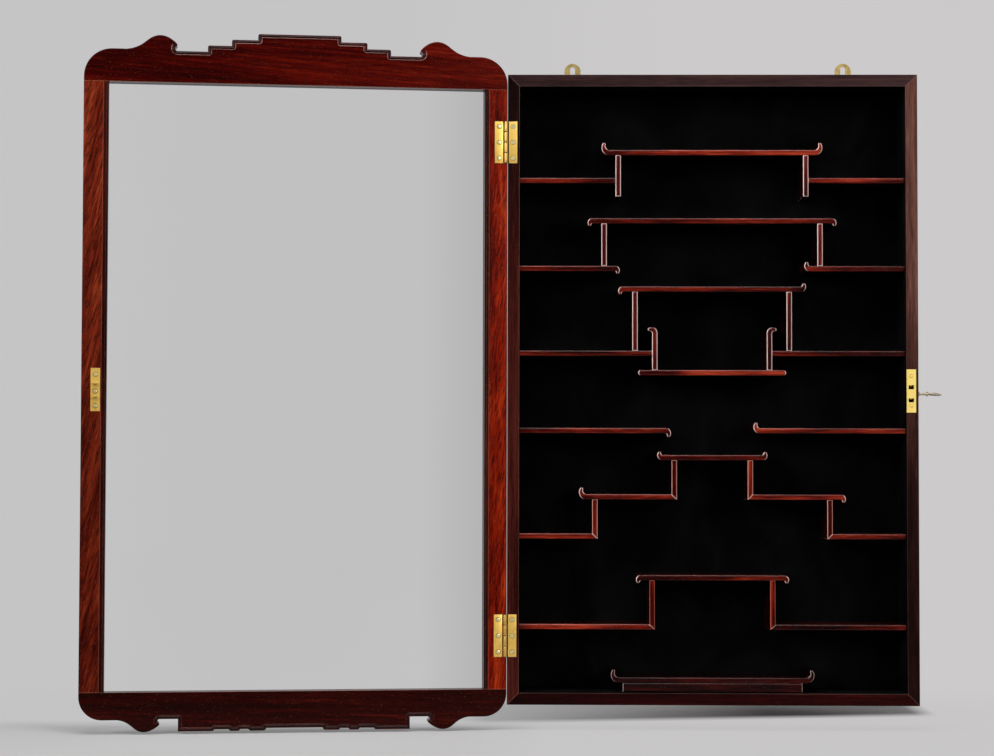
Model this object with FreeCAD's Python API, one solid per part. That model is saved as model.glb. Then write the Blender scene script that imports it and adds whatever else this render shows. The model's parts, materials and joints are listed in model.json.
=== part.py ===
import FreeCAD, Part
import math
import os

from FreeCAD import Vector

# Wall-hung glazed display cabinet: a shallow mitred case lined with velvet, stepped shelves with
# curled ends, and a glazed door with a stepped crest and apron that swings on two brass butt hinges.
# Millimetres. The origin is the centre of the case's rear face, +Y points to the wall, +Z up.
# The door is drawn closed and then swung to the pose of the rest position.

# Case
case_width = 488.0
case_height = 750.0
case_depth = 78.0
wall = 14.0
case_edge_round = 0.9
back_thickness = 6.0
back_rebate = 6.0
lining_thickness = 0.8
lining_setback = 2.0
overrun = 1.0

# Shelf boards and posts
shelf_thickness = 6.5
shelf_recess = 8.0
shelf_edge_round = 1.3
housing_depth = 3.0
curl_tip_radius = 1.9
curl_tip_angle = math.radians(35.0)
curl_hollow_share = 0.54

# Shelf rows: top faces as shares of half the inner height, half lengths and curls
roof_top_share = 0.7914
roof_reach = 132.0
roof_curl = 8.6
roof_post_offset = 112.0
roof_post_length = 49.2
wing_one_top_share = 0.6983

bridge_two_top_share = 0.5645
bridge_two_reach = 148.5
bridge_two_curl = 3.0
bridge_two_post_offset = 128.8
wing_two_top_share = 0.4061
wing_two_end = 110.0
wing_two_left_curl = 3.0
wing_two_right_curl = 4.8

bridge_three_top_share = 0.3380
bridge_three_reach = 112.0
bridge_three_left_curl = 3.0
bridge_three_right_curl = 4.0
bridge_three_post_offset = 91.9
wing_three_top_share = 0.1252

cradle_top_share = 0.0612
cradle_reach = 88.0
cradle_post_offset = 68.3
cradle_post_length = 51.1
cradle_post_curl = 5.2

wing_four_top_share = -0.1302
wing_four_end = 49.0
wing_four_left_curl = 4.4
wing_four_right_curl = 6.6

bridge_five_top_share = -0.2188
bridge_five_reach = 65.5
bridge_five_curl = 3.8
bridge_five_post_offset = 45.2
step_five_top_share = -0.3485
step_five_reach = 158.6
step_five_left_curl = 7.9
step_five_right_curl = 3.2

step_six_post_offset = 139.6
wing_six_top_share = -0.4781

bridge_seven_top_share = -0.6141
bridge_seven_reach = 90.8
bridge_seven_curl = 3.4
bridge_seven_post_offset = 71.6
wing_seven_top_share = -0.7756

base_shelf_reach = 120.7
base_shelf_curl = 9.2
plinth_half_width = 106.5
plinth_height = 10.7

# Door frame
lock_overhang = 7.9
door_edge_reach = 1.9
door_thickness = 20.0
door_face_gap = 0.6
door_rest_angle = 172.0
rail_overlap = 18.5
hinge_stile_width = 27.0
hinge_stile_flat = 22.0
lock_stile_width = 29.0
lock_stile_flat = 23.0
door_edge_round = 1.4
glass_thickness = 2.0
glass_inset = 12.0
glass_side_gap = 0.5
glass_top_gap = 1.0
rail_groove_depth = 5.0
bead_drop = 0.5
bead_chamfer = 2.0
tenon_edge = 4.5
tenon_width = 9.0
tenon_thickness = 7.0
tenon_inset = 3.5
tenon_length = 14.0

# Crest: heights above the rail line, and shares of half the door's width from its middle
crest_shift = -2.0
crest_corner_radius = 33.0
crest_shoulder_height = 38.9
crest_peak_height = 55.9
crest_floor_height = 37.5
crest_step_rise = 7.5
crest_step_shares = (0.4325, 0.3201, 0.1964)
crest_step_round = 2.2
crest_hill_share = 0.8273
crest_peak_share = 0.6522
crest_tip_share = 0.5751
crest_edge_round = 1.2

# Apron: depths below the lower rail line, and shares of half the door's width from its middle
apron_corner_radius = 27.0
apron_shoulder_depth = 32.2
apron_peak_depth = 46.3
apron_floor_depth = 31.3
apron_foot_depth = 45.8
apron_recess = 2.0
apron_centre_recess = 3.0
apron_hill_share = 0.8353
apron_peak_share = 0.7004
apron_tip_share = 0.6273
apron_step_share = 0.5414
apron_lobe_shares = ((0.1402, 0.2072), (0.2598, 0.2984), (0.3795, 0.5414))
apron_lobe_round = 2.0

# Scroll outline: shares of the run and rise from the hill's start to its peak, one share of the
# run and fall from the peak to the tip, and the beak-shaped tip
scroll_rise_shares = ((0.25, 0.07), (0.51, 0.37), (0.76, 0.84))
scroll_fall_share = (0.55, 0.17)
scroll_tip_radius = 1.9
scroll_tip_height_share = 0.4
scroll_tip_start = math.radians(130.0)
scroll_tip_end = math.radians(240.0)

# Butt hinges
hinge_inset = 81.5
hinge_length = 50.0
hinge_leaf_reach = 13.4
hinge_leaf_thickness = 1.6
hinge_pin_side = 2.1
knuckle_radius = 2.2
knuckle_clearance = 0.15
knuckle_count = 4
knuckle_end_play = 0.2
hinge_pin_radius = 0.9
hinge_running_gap = 0.05
hinge_screw_reach = 8.2
hinge_screw_spread = 19.0

# Wood screws with countersunk slotted heads
screw_head_radius = 2.5
screw_shank_radius = 1.2
screw_head_depth = 1.3
screw_length = 12.0
screw_point = 2.0
screw_slot_width = 0.6
screw_slot_depth = 0.6
small_screw_head_radius = 2.0
small_screw_shank_radius = 1.0
small_screw_head_depth = 1.0
small_screw_length = 10.0

# Hanging plates
hanger_inset = 78.5
hanger_width = 19.8
hanger_thickness = 1.6
hanger_rise = 26.0
hanger_foot = 8.0
hanger_slot_width = 6.0
hanger_slot_top_wall = 3.8
hanger_eye_radius = 4.6
hanger_eye_rise = 8.0
hanger_screw_spread = 5.6
hanger_screw_drop = 3.9

# Back board screws
back_screw_rows = 4
back_screw_columns = 3

# Lock in the right side
lock_plate_width = 11.0
lock_plate_height = 51.2
lock_plate_thickness = 1.6
lock_plate_centre = -2.7
lock_screw_spread = 17.5
lock_slot_width = 6.4
lock_slot_height = 4.8
lock_slot_middle = -6.0
lock_slot_spacing = 15.5
lock_body_thickness = 8.4
lock_body_depth = 26.0
lock_body_top = 12.2
lock_body_foot = -18.3
lock_sheet = 1.0
lock_cover_sheet = 1.2

# Bolt, depths measured behind the case's front face
bolt_finger_width = 1.8
bolt_finger_front = 3.1
bolt_finger_depth = 2.5
bolt_rib_front = 8.2
bolt_block_front = 9.6
bolt_block_back = 14.5
bolt_side_gap = 0.1
bolt_arm_height = 2.4
bolt_throw = 4.6
bolt_head_margin = 0.6
bolt_tail_height = 3.0
talon_half_height = 4.9
talon_depth = 3.5
spring_thickness = 0.5
spring_width = 4.0
spring_length = 9.0
spring_gap = 0.05

# Key
key_depth = 16.0
key_barrel_radius = 2.2
key_hole_gap = 0.3
key_bit_radius = 4.8
key_bit_thickness = 1.6
key_bit_width = 4.6
key_end_gap = 0.4
key_stem = 15.0
key_neck_radius = 1.5
key_collar_radius = 2.9
key_collar_width = 1.6
key_bow_length = 14.5
key_bow_width = 17.0
key_bow_wire = 2.6
key_bow_thickness = 2.0
key_bow_twist = 9.0
drill_pin_radius = 1.1
drill_pin_gap = 0.08

# Link plate on the door
link_plate_width = 10.8
link_plate_height = 50.2
link_plate_centre = -5.0
link_screw_top = 17.4
link_screw_middle = -2.0
link_screw_foot = -19.0
link_width = 5.0
link_leg = 1.3
link_height = 1.8
link_reach = 8.1
link_end_bar = 1.4
link_hole_length = 3.5
link_gap = 0.3

# Worked-out places
half_width = case_width / 2
half_height = case_height / 2
inner_x = half_width - wall
inner_z = half_height - wall
door_width = door_edge_reach + hinge_pin_side + case_width + lock_overhang
door_reach = door_width / 2
rail_line = half_height - rail_overlap
hinge_offset = half_height - hinge_inset
hanger_offset = half_width - hanger_inset
roof_top = inner_z * roof_top_share
wing_one_top = inner_z * wing_one_top_share
bridge_two_top = inner_z * bridge_two_top_share
wing_two_top = inner_z * wing_two_top_share
bridge_three_top = inner_z * bridge_three_top_share
wing_three_top = inner_z * wing_three_top_share
cradle_top = inner_z * cradle_top_share
wing_four_top = inner_z * wing_four_top_share
bridge_five_top = inner_z * bridge_five_top_share
step_five_top = inner_z * step_five_top_share
wing_six_top = inner_z * wing_six_top_share
bridge_seven_top = inner_z * bridge_seven_top_share
wing_seven_top = inner_z * wing_seven_top_share
plinth_foot = -inner_z + lining_thickness
base_shelf_top = plinth_foot + plinth_height + shelf_thickness
front_y = -case_depth
board_front_y = front_y + shelf_recess
board_back_y = -back_thickness - lining_thickness
board_depth = board_back_y - board_front_y
pin_x = -half_width - hinge_pin_side
door_edge_x = pin_x - door_edge_reach
pin_y = front_y - door_face_gap / 2
door_face_y = front_y - door_face_gap
lock_x = inner_x + lock_plate_width / 2
lock_body_left = lock_x - lock_body_thickness / 2
lock_body_right = lock_x + lock_body_thickness / 2
lock_body_front = front_y + lock_plate_thickness
lock_body_back = lock_body_front + lock_body_depth
slot_heights = (lock_slot_middle + lock_slot_spacing / 2, lock_slot_middle - lock_slot_spacing / 2)
X = Vector(1, 0, 0)
Y = Vector(0, 1, 0)
Z = Vector(0, 0, 1)


# Shared shapes


def box(x_range, y_range, z_range):
    """A block between two values on each axis."""
    x0, x1 = sorted(x_range)
    y0, y1 = sorted(y_range)
    z0, z1 = sorted(z_range)
    return Part.makeBox(x1 - x0, y1 - y0, z1 - z0, Vector(x0, y0, z0))


def mirrored(shape):
    """The same shape on the other side of the middle plane."""
    return shape.mirror(Vector(0, 0, 0), X)


def edges_of(segments):
    """Edges from (start, middle or None, end) segments; a list of points is a smooth curve."""
    edges = []
    for start, middle, end in segments:
        if middle is None:
            edges.append(Part.LineSegment(start, end).toShape())
        elif isinstance(middle, list):
            curve = Part.BSplineCurve()
            curve.interpolate([start] + middle + [end])
            edges.append(curve.toShape())
        else:
            edges.append(Part.Arc(start, middle, end).toShape())
    return edges


def slab(segments, depth):
    """The outline in an XZ plane pulled back along Y."""
    face = Part.Face(Part.Wire(edges_of(segments)))
    return face.extrude(Y * depth)


def polygon(points):
    """Straight segments round the points, back to the first."""
    ends = points[1:] + points[:1]
    return [(start, None, end) for start, end in zip(points, ends)]


def round_front(shape, plane_y, radius, kept_sharp):
    """Round the outline's edges in one Y plane, but for those whose middles are kept sharp."""
    chosen = []
    for edge in shape.Edges:
        bounds = edge.BoundBox
        if abs(bounds.YMin - plane_y) > radius / 10 or abs(bounds.YMax - plane_y) > radius / 10:
            continue
        middle = edge.valueAt((edge.FirstParameter + edge.LastParameter) / 2)
        if any(middle.distanceToPoint(point) < radius for point in kept_sharp):
            continue
        chosen.append(edge)
    return shape.makeFillet(radius, chosen)


def round_long_edges(shape, radius, direction, places):
    """Round the straight edges along one direction that pass near the given places."""
    chosen = []
    for edge in shape.Edges:
        if not isinstance(edge.Curve, Part.Line):
            continue
        if edge.Curve.Direction.cross(direction).Length > radius / 10:
            continue
        for place in places:
            offset = place - edge.Vertexes[0].Point
            if offset.cross(direction).Length < radius / 10:
                chosen.append(edge)
    return shape.makeFillet(radius, chosen)


def point_at(base, along, across, s, v):
    """A place s along and v across from a base."""
    return base + along * s + across * v


def around(centre, radius, angle):
    """A place on a circle, as a pair."""
    return (centre[0] + radius * math.cos(angle), centre[1] + radius * math.sin(angle))


def curl_segments(rise):
    """A curled board end from the far face to the near one; s is negative behind the end."""
    tip = curl_tip_radius
    lean = math.sin(curl_tip_angle)
    outer = (shelf_thickness + rise - tip + tip * lean) / (1 + lean)
    outer_centre = (-outer, outer)
    tip_centre = around(outer_centre, outer - tip, curl_tip_angle)
    hollow = rise * curl_hollow_share
    hollow_v = shelf_thickness + hollow
    reach = math.sqrt((hollow + tip) ** 2 - (tip_centre[1] - hollow_v) ** 2)
    hollow_centre = (tip_centre[0] - reach, hollow_v)
    turn = math.atan2(hollow_v - tip_centre[1], -reach)
    turn += 2 * math.pi if turn < 0 else 0.0
    down = -math.pi / 2
    meeting = turn - math.pi
    outer_end = around(outer_centre, outer, curl_tip_angle)
    tip_end = around(tip_centre, tip, turn)
    return [
        ((-outer, 0.0), around(outer_centre, outer, (down + curl_tip_angle) / 2), outer_end),
        (outer_end, around(tip_centre, tip, (curl_tip_angle + turn) / 2), tip_end),
        (
            tip_end,
            around(hollow_centre, hollow, (meeting + down) / 2),
            (hollow_centre[0], shelf_thickness),
        ),
    ]


def end_segments(kind, rise):
    """A board's end from its lower face (v 0) to its upper face, with s measured from the end."""
    if kind == "curl_up":
        return curl_segments(rise)
    if kind == "curl_down":
        flipped = []
        for start, middle, end in reversed(curl_segments(rise)):
            points = [(s, shelf_thickness - v) for s, v in (end, middle, start)]
            flipped.append(tuple(points))
        return flipped
    if kind == "round":
        half = shelf_thickness / 2
        return [((-half, 0.0), (0.0, half), (-half, shelf_thickness))]
    if kind == "mitre_up":
        return [((0.0, 0.0), None, (-shelf_thickness, shelf_thickness))]
    return [((0.0, 0.0), None, (0.0, shelf_thickness))]


def board(base, along, across, length, start_end, finish_end):
    """A board of shelf thickness, its front edge rounded, with the named kind of end at each side."""

    def place(pair, from_start):
        if pair is None:
            return None
        s, v = pair
        return point_at(base, along, across, -s if from_start else length + s, v)

    finish = [tuple(place(p, False) for p in segment) for segment in end_segments(*finish_end)]
    start = []
    for segment in reversed(end_segments(*start_end)):
        start.append(tuple(place(p, True) for p in reversed(segment)))
    lower = [(start[-1][2], None, finish[0][0])]
    upper = [(finish[-1][2], None, start[0][0])]
    solid = slab(lower + finish + upper + start, board_depth)
    sharp = []
    for kind, segments in ((start_end[0], start), (finish_end[0], finish)):
        if kind in ("butt", "mitre_up"):
            sharp.append((segments[0][0] + segments[0][2]) / 2)
    return round_front(solid, board_front_y, shelf_edge_round, sharp)


def shelf(x_left, x_right, top, left_end, right_end):
    """A level board between two X values."""
    base = Vector(x_left, board_front_y, top - shelf_thickness)
    return board(base, X, Z, x_right - x_left, left_end, right_end)


def wing(top, inner, left_end, right_end):
    """Boards from both side walls towards the middle, each housed in its wall."""
    outer = inner_x + housing_depth
    left = shelf(-outer, -inner, top, ("butt", 0.0), left_end)
    right = shelf(inner, outer, top, right_end, ("butt", 0.0))
    return left, right


def left_post(offset, head, foot, mitred):
    """A post left of the middle; a mitred foot goes down through the board that it meets."""
    outer = -offset - shelf_thickness / 2
    inner = -offset + shelf_thickness / 2
    inner_foot = foot - shelf_thickness if mitred else foot
    corners = (
        Vector(outer, board_front_y, head),
        Vector(outer, board_front_y, foot),
        Vector(inner, board_front_y, inner_foot),
        Vector(inner, board_front_y, head),
    )
    sharp = [(corners[0] + corners[3]) / 2, (corners[1] + corners[2]) / 2]
    return round_front(slab(polygon(list(corners)), board_depth), board_front_y, shelf_edge_round, sharp)


def posts(offset, head, foot, mitred=False):
    """A pair of posts either side of the middle."""
    post = left_post(offset, head, foot, mitred)
    return [post, mirrored(post)]


def screw_blank(head_radius, shank_radius, head_depth, length):
    """A countersunk screw's full shape, head up at the origin and point down."""
    head = Part.makeCone(shank_radius, head_radius, head_depth, Vector(0, 0, -head_depth))
    shank_length = length - head_depth - screw_point
    shank = Part.makeCylinder(shank_radius, shank_length, Vector(0, 0, -head_depth - shank_length))
    point = Part.makeCone(0, shank_radius, screw_point, Vector(0, 0, -length))
    return head.fuse([shank, point]).removeSplitter()


def placed(shape, position, out_direction):
    """The shape with its own +Z turned to a direction and its origin moved to a position."""
    moved = shape.copy()
    turn = FreeCAD.Rotation(Z, out_direction)
    moved.Placement = FreeCAD.Placement(position, turn)
    return moved


def screw_set(places, out_direction, small=False):
    """Blanks for cutting the holes, and the slotted screws that fill them."""
    if small:
        blank = screw_blank(
            small_screw_head_radius, small_screw_shank_radius, small_screw_head_depth, small_screw_length
        )
    else:
        blank = screw_blank(screw_head_radius, screw_shank_radius, screw_head_depth, screw_length)
    half_slot = screw_slot_width / 2
    span = (-screw_head_radius - overrun, screw_head_radius + overrun)
    slot = box(span, (-half_slot, half_slot), (-screw_slot_depth, overrun))
    screw = blank.cut(slot)
    blanks = [placed(blank, place, out_direction) for place in places]
    screws = [placed(screw, place, out_direction) for place in places]
    return blanks, screws


# Shelves


def build_shelves():
    """Every board and post of the stepped shelves, by name."""
    free = ("butt", 0.0)
    lower = shelf_thickness
    nodes = {}
    nodes["roof_shelf"] = [
        shelf(-roof_reach, roof_reach, roof_top, ("curl_up", roof_curl), ("curl_up", roof_curl))
    ]
    head = roof_top - lower
    nodes["roof_shelf_posts"] = posts(roof_post_offset, head, head - roof_post_length)
    nodes["wing_shelves_one"] = list(
        wing(wing_one_top, roof_post_offset + shelf_thickness / 2, free, free)
    )

    small = ("curl_down", bridge_two_curl)
    nodes["bridge_shelf_two"] = [
        shelf(-bridge_two_reach, bridge_two_reach, bridge_two_top, small, small)
    ]
    nodes["bridge_posts_two"] = posts(bridge_two_post_offset, bridge_two_top - lower, wing_two_top)
    left, right = wing(
        wing_two_top,
        wing_two_end,
        ("curl_down", wing_two_left_curl),
        ("curl_up", wing_two_right_curl),
    )
    nodes["wing_shelf_two_left"] = [left]
    nodes["wing_shelf_two_right"] = [right]

    nodes["bridge_shelf_three"] = [
        shelf(
            -bridge_three_reach,
            bridge_three_reach,
            bridge_three_top,
            ("curl_down", bridge_three_left_curl),
            ("curl_up", bridge_three_right_curl),
        )
    ]
    nodes["bridge_posts_three"] = posts(
        bridge_three_post_offset, bridge_three_top - lower, wing_three_top
    )
    nodes["wing_shelves_three"] = list(
        wing(wing_three_top, cradle_post_offset + shelf_thickness / 2, free, free)
    )

    rounded = ("round", 0.0)
    nodes["cradle_shelf"] = [shelf(-cradle_reach, cradle_reach, cradle_top, rounded, rounded)]
    foot = Vector(-cradle_post_offset + shelf_thickness / 2, board_front_y, cradle_top)
    post = board(foot, Z, -X, cradle_post_length, free, ("curl_up", cradle_post_curl))
    nodes["cradle_posts"] = [post, mirrored(post)]

    left, right = wing(
        wing_four_top,
        wing_four_end,
        ("curl_down", wing_four_left_curl),
        ("curl_up", wing_four_right_curl),
    )
    nodes["wing_shelf_four_left"] = [left]
    nodes["wing_shelf_four_right"] = [right]

    small = ("curl_up", bridge_five_curl)
    nodes["bridge_shelf_five"] = [
        shelf(-bridge_five_reach, bridge_five_reach, bridge_five_top, small, small)
    ]
    nodes["bridge_posts_five"] = posts(
        bridge_five_post_offset, bridge_five_top - lower, step_five_top, True
    )
    inner = bridge_five_post_offset - shelf_thickness / 2
    nodes["step_shelf_five_left"] = [
        shelf(
            -step_five_reach,
            -inner,
            step_five_top,
            ("curl_up", step_five_left_curl),
            ("mitre_up", 0.0),
        )
    ]
    nodes["step_shelf_five_right"] = [
        shelf(
            inner,
            step_five_reach,
            step_five_top,
            ("mitre_up", 0.0),
            ("curl_down", step_five_right_curl),
        )
    ]
    nodes["step_posts_six"] = posts(step_six_post_offset, step_five_top - lower, wing_six_top, True)
    nodes["wing_shelves_six"] = list(
        wing(
            wing_six_top,
            step_six_post_offset - shelf_thickness / 2,
            ("mitre_up", 0.0),
            ("mitre_up", 0.0),
        )
    )

    small = ("curl_down", bridge_seven_curl)
    nodes["bridge_shelf_seven"] = [
        shelf(-bridge_seven_reach, bridge_seven_reach, bridge_seven_top, small, small)
    ]
    nodes["bridge_posts_seven"] = posts(
        bridge_seven_post_offset, bridge_seven_top - lower, wing_seven_top, True
    )
    nodes["wing_shelves_seven"] = list(
        wing(
            wing_seven_top,
            bridge_seven_post_offset - shelf_thickness / 2,
            ("mitre_up", 0.0),
            ("mitre_up", 0.0),
        )
    )

    large = ("curl_up", base_shelf_curl)
    nodes["base_shelf"] = [shelf(-base_shelf_reach, base_shelf_reach, base_shelf_top, large, large)]
    plinth = box(
        (-plinth_half_width, plinth_half_width),
        (board_front_y, board_back_y),
        (plinth_foot, base_shelf_top - lower),
    )
    nodes["base_plinth"] = [round_front(plinth, board_front_y, shelf_edge_round, [])]
    return nodes


# Case


def trapezoid_side():
    """Left side board, mitred at both ends, with a rebate for the back board."""
    corners = [
        Vector(-half_width, front_y, -half_height),
        Vector(-inner_x, front_y, -inner_z),
        Vector(-inner_x, front_y, inner_z),
        Vector(-half_width, front_y, half_height),
    ]
    solid = slab(polygon(corners), case_depth)
    outer_edge = Vector(-half_width, front_y, 0)
    return round_long_edges(solid, case_edge_round, Z, [outer_edge])


def trapezoid_top():
    """Top board, mitred at both ends."""
    corners = [
        Vector(-half_width, front_y, half_height),
        Vector(-inner_x, front_y, inner_z),
        Vector(inner_x, front_y, inner_z),
        Vector(half_width, front_y, half_height),
    ]
    solid = slab(polygon(corners), case_depth)
    outer_edge = Vector(0, front_y, half_height)
    return round_long_edges(solid, case_edge_round, X, [outer_edge])


def rebate_block():
    """The space that the back board fills."""
    reach_x = inner_x + back_rebate
    reach_z = inner_z + back_rebate
    return box((-reach_x, reach_x), (-back_thickness, 0), (-reach_z, reach_z))


def back_screw_places():
    """Places round the back board's edge, over the rebate."""
    x = inner_x + back_rebate / 2
    z = inner_z + back_rebate / 2
    places = []
    for row in range(back_screw_rows):
        height = -z + 2 * z * (row + 0.5) / back_screw_rows
        places += [Vector(-x, 0, height), Vector(x, 0, height)]
    for column in range(back_screw_columns):
        across = -x + 2 * x * (column + 0.5) / back_screw_columns
        places += [Vector(across, 0, -z), Vector(across, 0, z)]
    return places


def build_linings():
    """Velvet on the back board and on the four walls of the case."""
    back = box((-inner_x, inner_x), (board_back_y, -back_thickness), (-inner_z, inner_z))
    depth = (front_y + lining_setback, board_back_y)
    skin_x = inner_x - lining_thickness
    skin_z = inner_z - lining_thickness
    left = box((-inner_x, -skin_x), depth, (-skin_z, skin_z))
    top = box((-inner_x, inner_x), depth, (skin_z, inner_z))
    foot = box((-inner_x, inner_x), depth, (-inner_z, -skin_z))
    return back, [left, mirrored(left), top, foot]


# Hanging plates


def hanger_plate():
    """One plate, centred on X 0, with a keyhole above the case's top."""
    radius = hanger_width / 2
    top = half_height + hanger_rise
    foot = half_height - hanger_foot
    shoulder = top - radius
    y = -hanger_thickness
    segments = [
        (Vector(-radius, y, foot), None, Vector(radius, y, foot)),
        (Vector(radius, y, foot), None, Vector(radius, y, shoulder)),
        (Vector(radius, y, shoulder), Vector(0, y, top), Vector(-radius, y, shoulder)),
        (Vector(-radius, y, shoulder), None, Vector(-radius, y, foot)),
    ]
    plate = slab(segments, hanger_thickness)
    half_slot = hanger_slot_width / 2
    slot_end = top - hanger_slot_top_wall - half_slot
    eye = half_height + hanger_eye_rise
    reach = (-hanger_thickness - overrun, overrun)
    length = reach[1] - reach[0]
    round_end = Part.makeCylinder(half_slot, length, Vector(0, reach[0], slot_end), Y)
    round_eye = Part.makeCylinder(hanger_eye_radius, length, Vector(0, reach[0], eye), Y)
    channel = box((-half_slot, half_slot), reach, (eye, slot_end))
    return plate.cut([round_end, round_eye, channel])


def hanger_screw_places():
    """Two screws in each plate's foot, in the top board's rear edge."""
    z = half_height - hanger_screw_drop
    places = []
    for side in (-1, 1):
        for step in (-1, 1):
            places.append(Vector(side * hanger_offset + step * hanger_screw_spread, 0, z))
    return places


# Door


def door_point(u, w, z):
    """A place on the closed door: u from its hinge edge, w from the inner face outwards."""
    return Vector(door_edge_x + u, door_face_y - w, z)


def door_block(u_range, w_range, z_range):
    """A block in the closed door's own measures."""
    x_range = [door_edge_x + u for u in u_range]
    y_range = [door_face_y - w for w in w_range]
    return box(x_range, y_range, z_range)


def swing_open(shape):
    """The closed door's piece turned about the hinge pins to the rest pose."""
    turned = shape.copy()
    turned.rotate(Vector(pin_x, pin_y, 0), Z, -door_rest_angle)
    return turned


def tenon_blocks():
    """The four stub tenons, which also shape their mortises."""
    blocks = []
    w_range = (tenon_inset, tenon_inset + tenon_thickness)
    for u in (tenon_edge, door_width - tenon_edge - tenon_width):
        for side in (-1, 1):
            z_range = (side * rail_line, side * (rail_line + tenon_length))
            blocks.append(door_block((u, u + tenon_width), w_range, z_range))
    return blocks


def stile(outer_u, inner_u, sight_u, tenons):
    """A stile with its glazing lip, from the outer edge to the sight line."""
    z_range = (-rail_line, rail_line)
    flat = door_block((outer_u, inner_u), (0, door_thickness), z_range)
    lip = door_block((inner_u, sight_u), (glass_inset + glass_thickness, door_thickness), z_range)
    solid = flat.fuse(lip).removeSplitter()
    rounded = round_long_edges(
        solid,
        door_edge_round,
        Z,
        [door_point(outer_u, 0, 0), door_point(outer_u, door_thickness, 0)],
    )
    return rounded.fuse(tenons)


def bead(inner_u, sight_u):
    """A glazing bead that holds the glass against the stile's lip."""
    solid = door_block((inner_u, sight_u), (bead_drop, glass_inset), (-rail_line, rail_line))
    edge = door_point(sight_u, bead_drop, 0)
    chosen = []
    for candidate in solid.Edges:
        direction = candidate.Vertexes[1].Point - candidate.Vertexes[0].Point
        offset = edge - candidate.Vertexes[0].Point
        if direction.Length > rail_line and offset.cross(Z).Length < bead_chamfer / 10:
            chosen.append(candidate)
    return solid.makeChamfer(bead_chamfer, chosen)


def mirrored_outline(half):
    """A closed list of segments from a half outline that runs to the middle, and its mirror."""
    back = []
    for start, middle, end in reversed(half):
        if isinstance(middle, list):
            through = [(-c, h) for c, h in reversed(middle)]
        elif middle is None:
            through = None
        else:
            through = (-middle[0], middle[1])
        back.append(((-end[0], end[1]), through, (-start[0], start[1])))
    return half + back


def scroll_half(hill_start, peak_reach, tip_reach, shoulder, peak, floor):
    """The hill, the beak-shaped tip and the hollow under it, down to the notch floor."""
    rise = peak - shoulder
    fall = peak - floor
    hill = [
        (hill_start + (peak_reach - hill_start) * run, shoulder + rise * lift)
        for run, lift in scroll_rise_shares
    ]
    run, drop = scroll_fall_share
    hill += [(peak_reach, peak), (peak_reach + (tip_reach - peak_reach) * run, peak - fall * drop)]
    centre_reach = tip_reach + scroll_tip_radius
    centre_height = floor + fall * scroll_tip_height_share

    def on_tip(angle):
        across = scroll_tip_radius * math.cos(angle)
        up = scroll_tip_radius * math.sin(angle)
        return (centre_reach + across, centre_height + up)

    tip_start = on_tip(scroll_tip_start)
    tip_end = on_tip(scroll_tip_end)
    hollow = (tip_end[1] - floor) / (1 - math.sin(scroll_tip_end))
    hollow_reach = tip_end[0] + hollow * math.cos(scroll_tip_end)
    hollow_height = floor + hollow
    return [
        ((hill_start, shoulder), hill, tip_start),
        (tip_start, (tip_reach, centre_height), tip_end),
        (tip_end, (hollow_reach + hollow, hollow_height), (hollow_reach, floor)),
    ]


def corner_arc(reach, radius, height):
    """The rounded outer corner of a rail: up its side and over to the shoulder."""
    start = (reach, height - radius)
    lift = radius * math.sin(math.pi / 4)
    middle = (reach - radius + lift, height - radius + lift)
    return [((reach, 0.0), None, start), (start, middle, (reach - radius, height))]


def crest_half():
    """The crest's outline from the door's edge to its middle, heights from the rail line."""
    outline = corner_arc(door_reach, crest_corner_radius, crest_shoulder_height)
    hill_start = door_reach * crest_hill_share
    outline.append((outline[-1][2], None, (hill_start, crest_shoulder_height)))
    outline += scroll_half(
        hill_start,
        door_reach * crest_peak_share,
        door_reach * crest_tip_share,
        crest_shoulder_height,
        crest_peak_height,
        crest_floor_height,
    )
    height = crest_floor_height
    for step_share in crest_step_shares:
        step_reach = door_reach * step_share
        outline.append((outline[-1][2], None, (step_reach, height)))
        height += crest_step_rise
        below = (step_reach, height - crest_step_round)
        past = (step_reach - crest_step_round, height)
        bulge = crest_step_round * (1 - math.sin(math.pi / 4))
        outline.append(((step_reach, height - crest_step_rise), None, below))
        outline.append((below, (step_reach - bulge, height - bulge), past))
    outline.append((outline[-1][2], None, (0.0, height)))
    return outline


def apron_half():
    """The apron's outline from the door's edge to its middle, depths from the rail line."""
    outline = corner_arc(door_reach, apron_corner_radius, apron_shoulder_depth)
    hill_start = door_reach * apron_hill_share
    outline.append((outline[-1][2], None, (hill_start, apron_shoulder_depth)))
    outline += scroll_half(
        hill_start,
        door_reach * apron_peak_share,
        door_reach * apron_tip_share,
        apron_shoulder_depth,
        apron_peak_depth,
        apron_floor_depth,
    )
    step_reach = door_reach * apron_step_share
    outline.append((outline[-1][2], None, (step_reach, apron_floor_depth)))
    outline.append((outline[-1][2], None, (step_reach, apron_foot_depth)))
    recess = apron_foot_depth - apron_recess
    for inner_share, outer_share in reversed(apron_lobe_shares):
        inner = door_reach * inner_share
        outer = door_reach * outer_share
        if outer_share < apron_step_share:
            outline.append((outline[-1][2], None, (outer + apron_lobe_round, recess)))
            outline.append((outline[-1][2], None, (outer, apron_foot_depth)))
        outline.append((outline[-1][2], None, (inner, apron_foot_depth)))
        outline.append((outline[-1][2], None, (inner - apron_lobe_round, recess)))
    centre = apron_foot_depth - apron_centre_recess
    outline.append((outline[-1][2], None, (outline[-1][2][0], centre)))
    outline.append((outline[-1][2], None, (0.0, centre)))
    return outline


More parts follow.
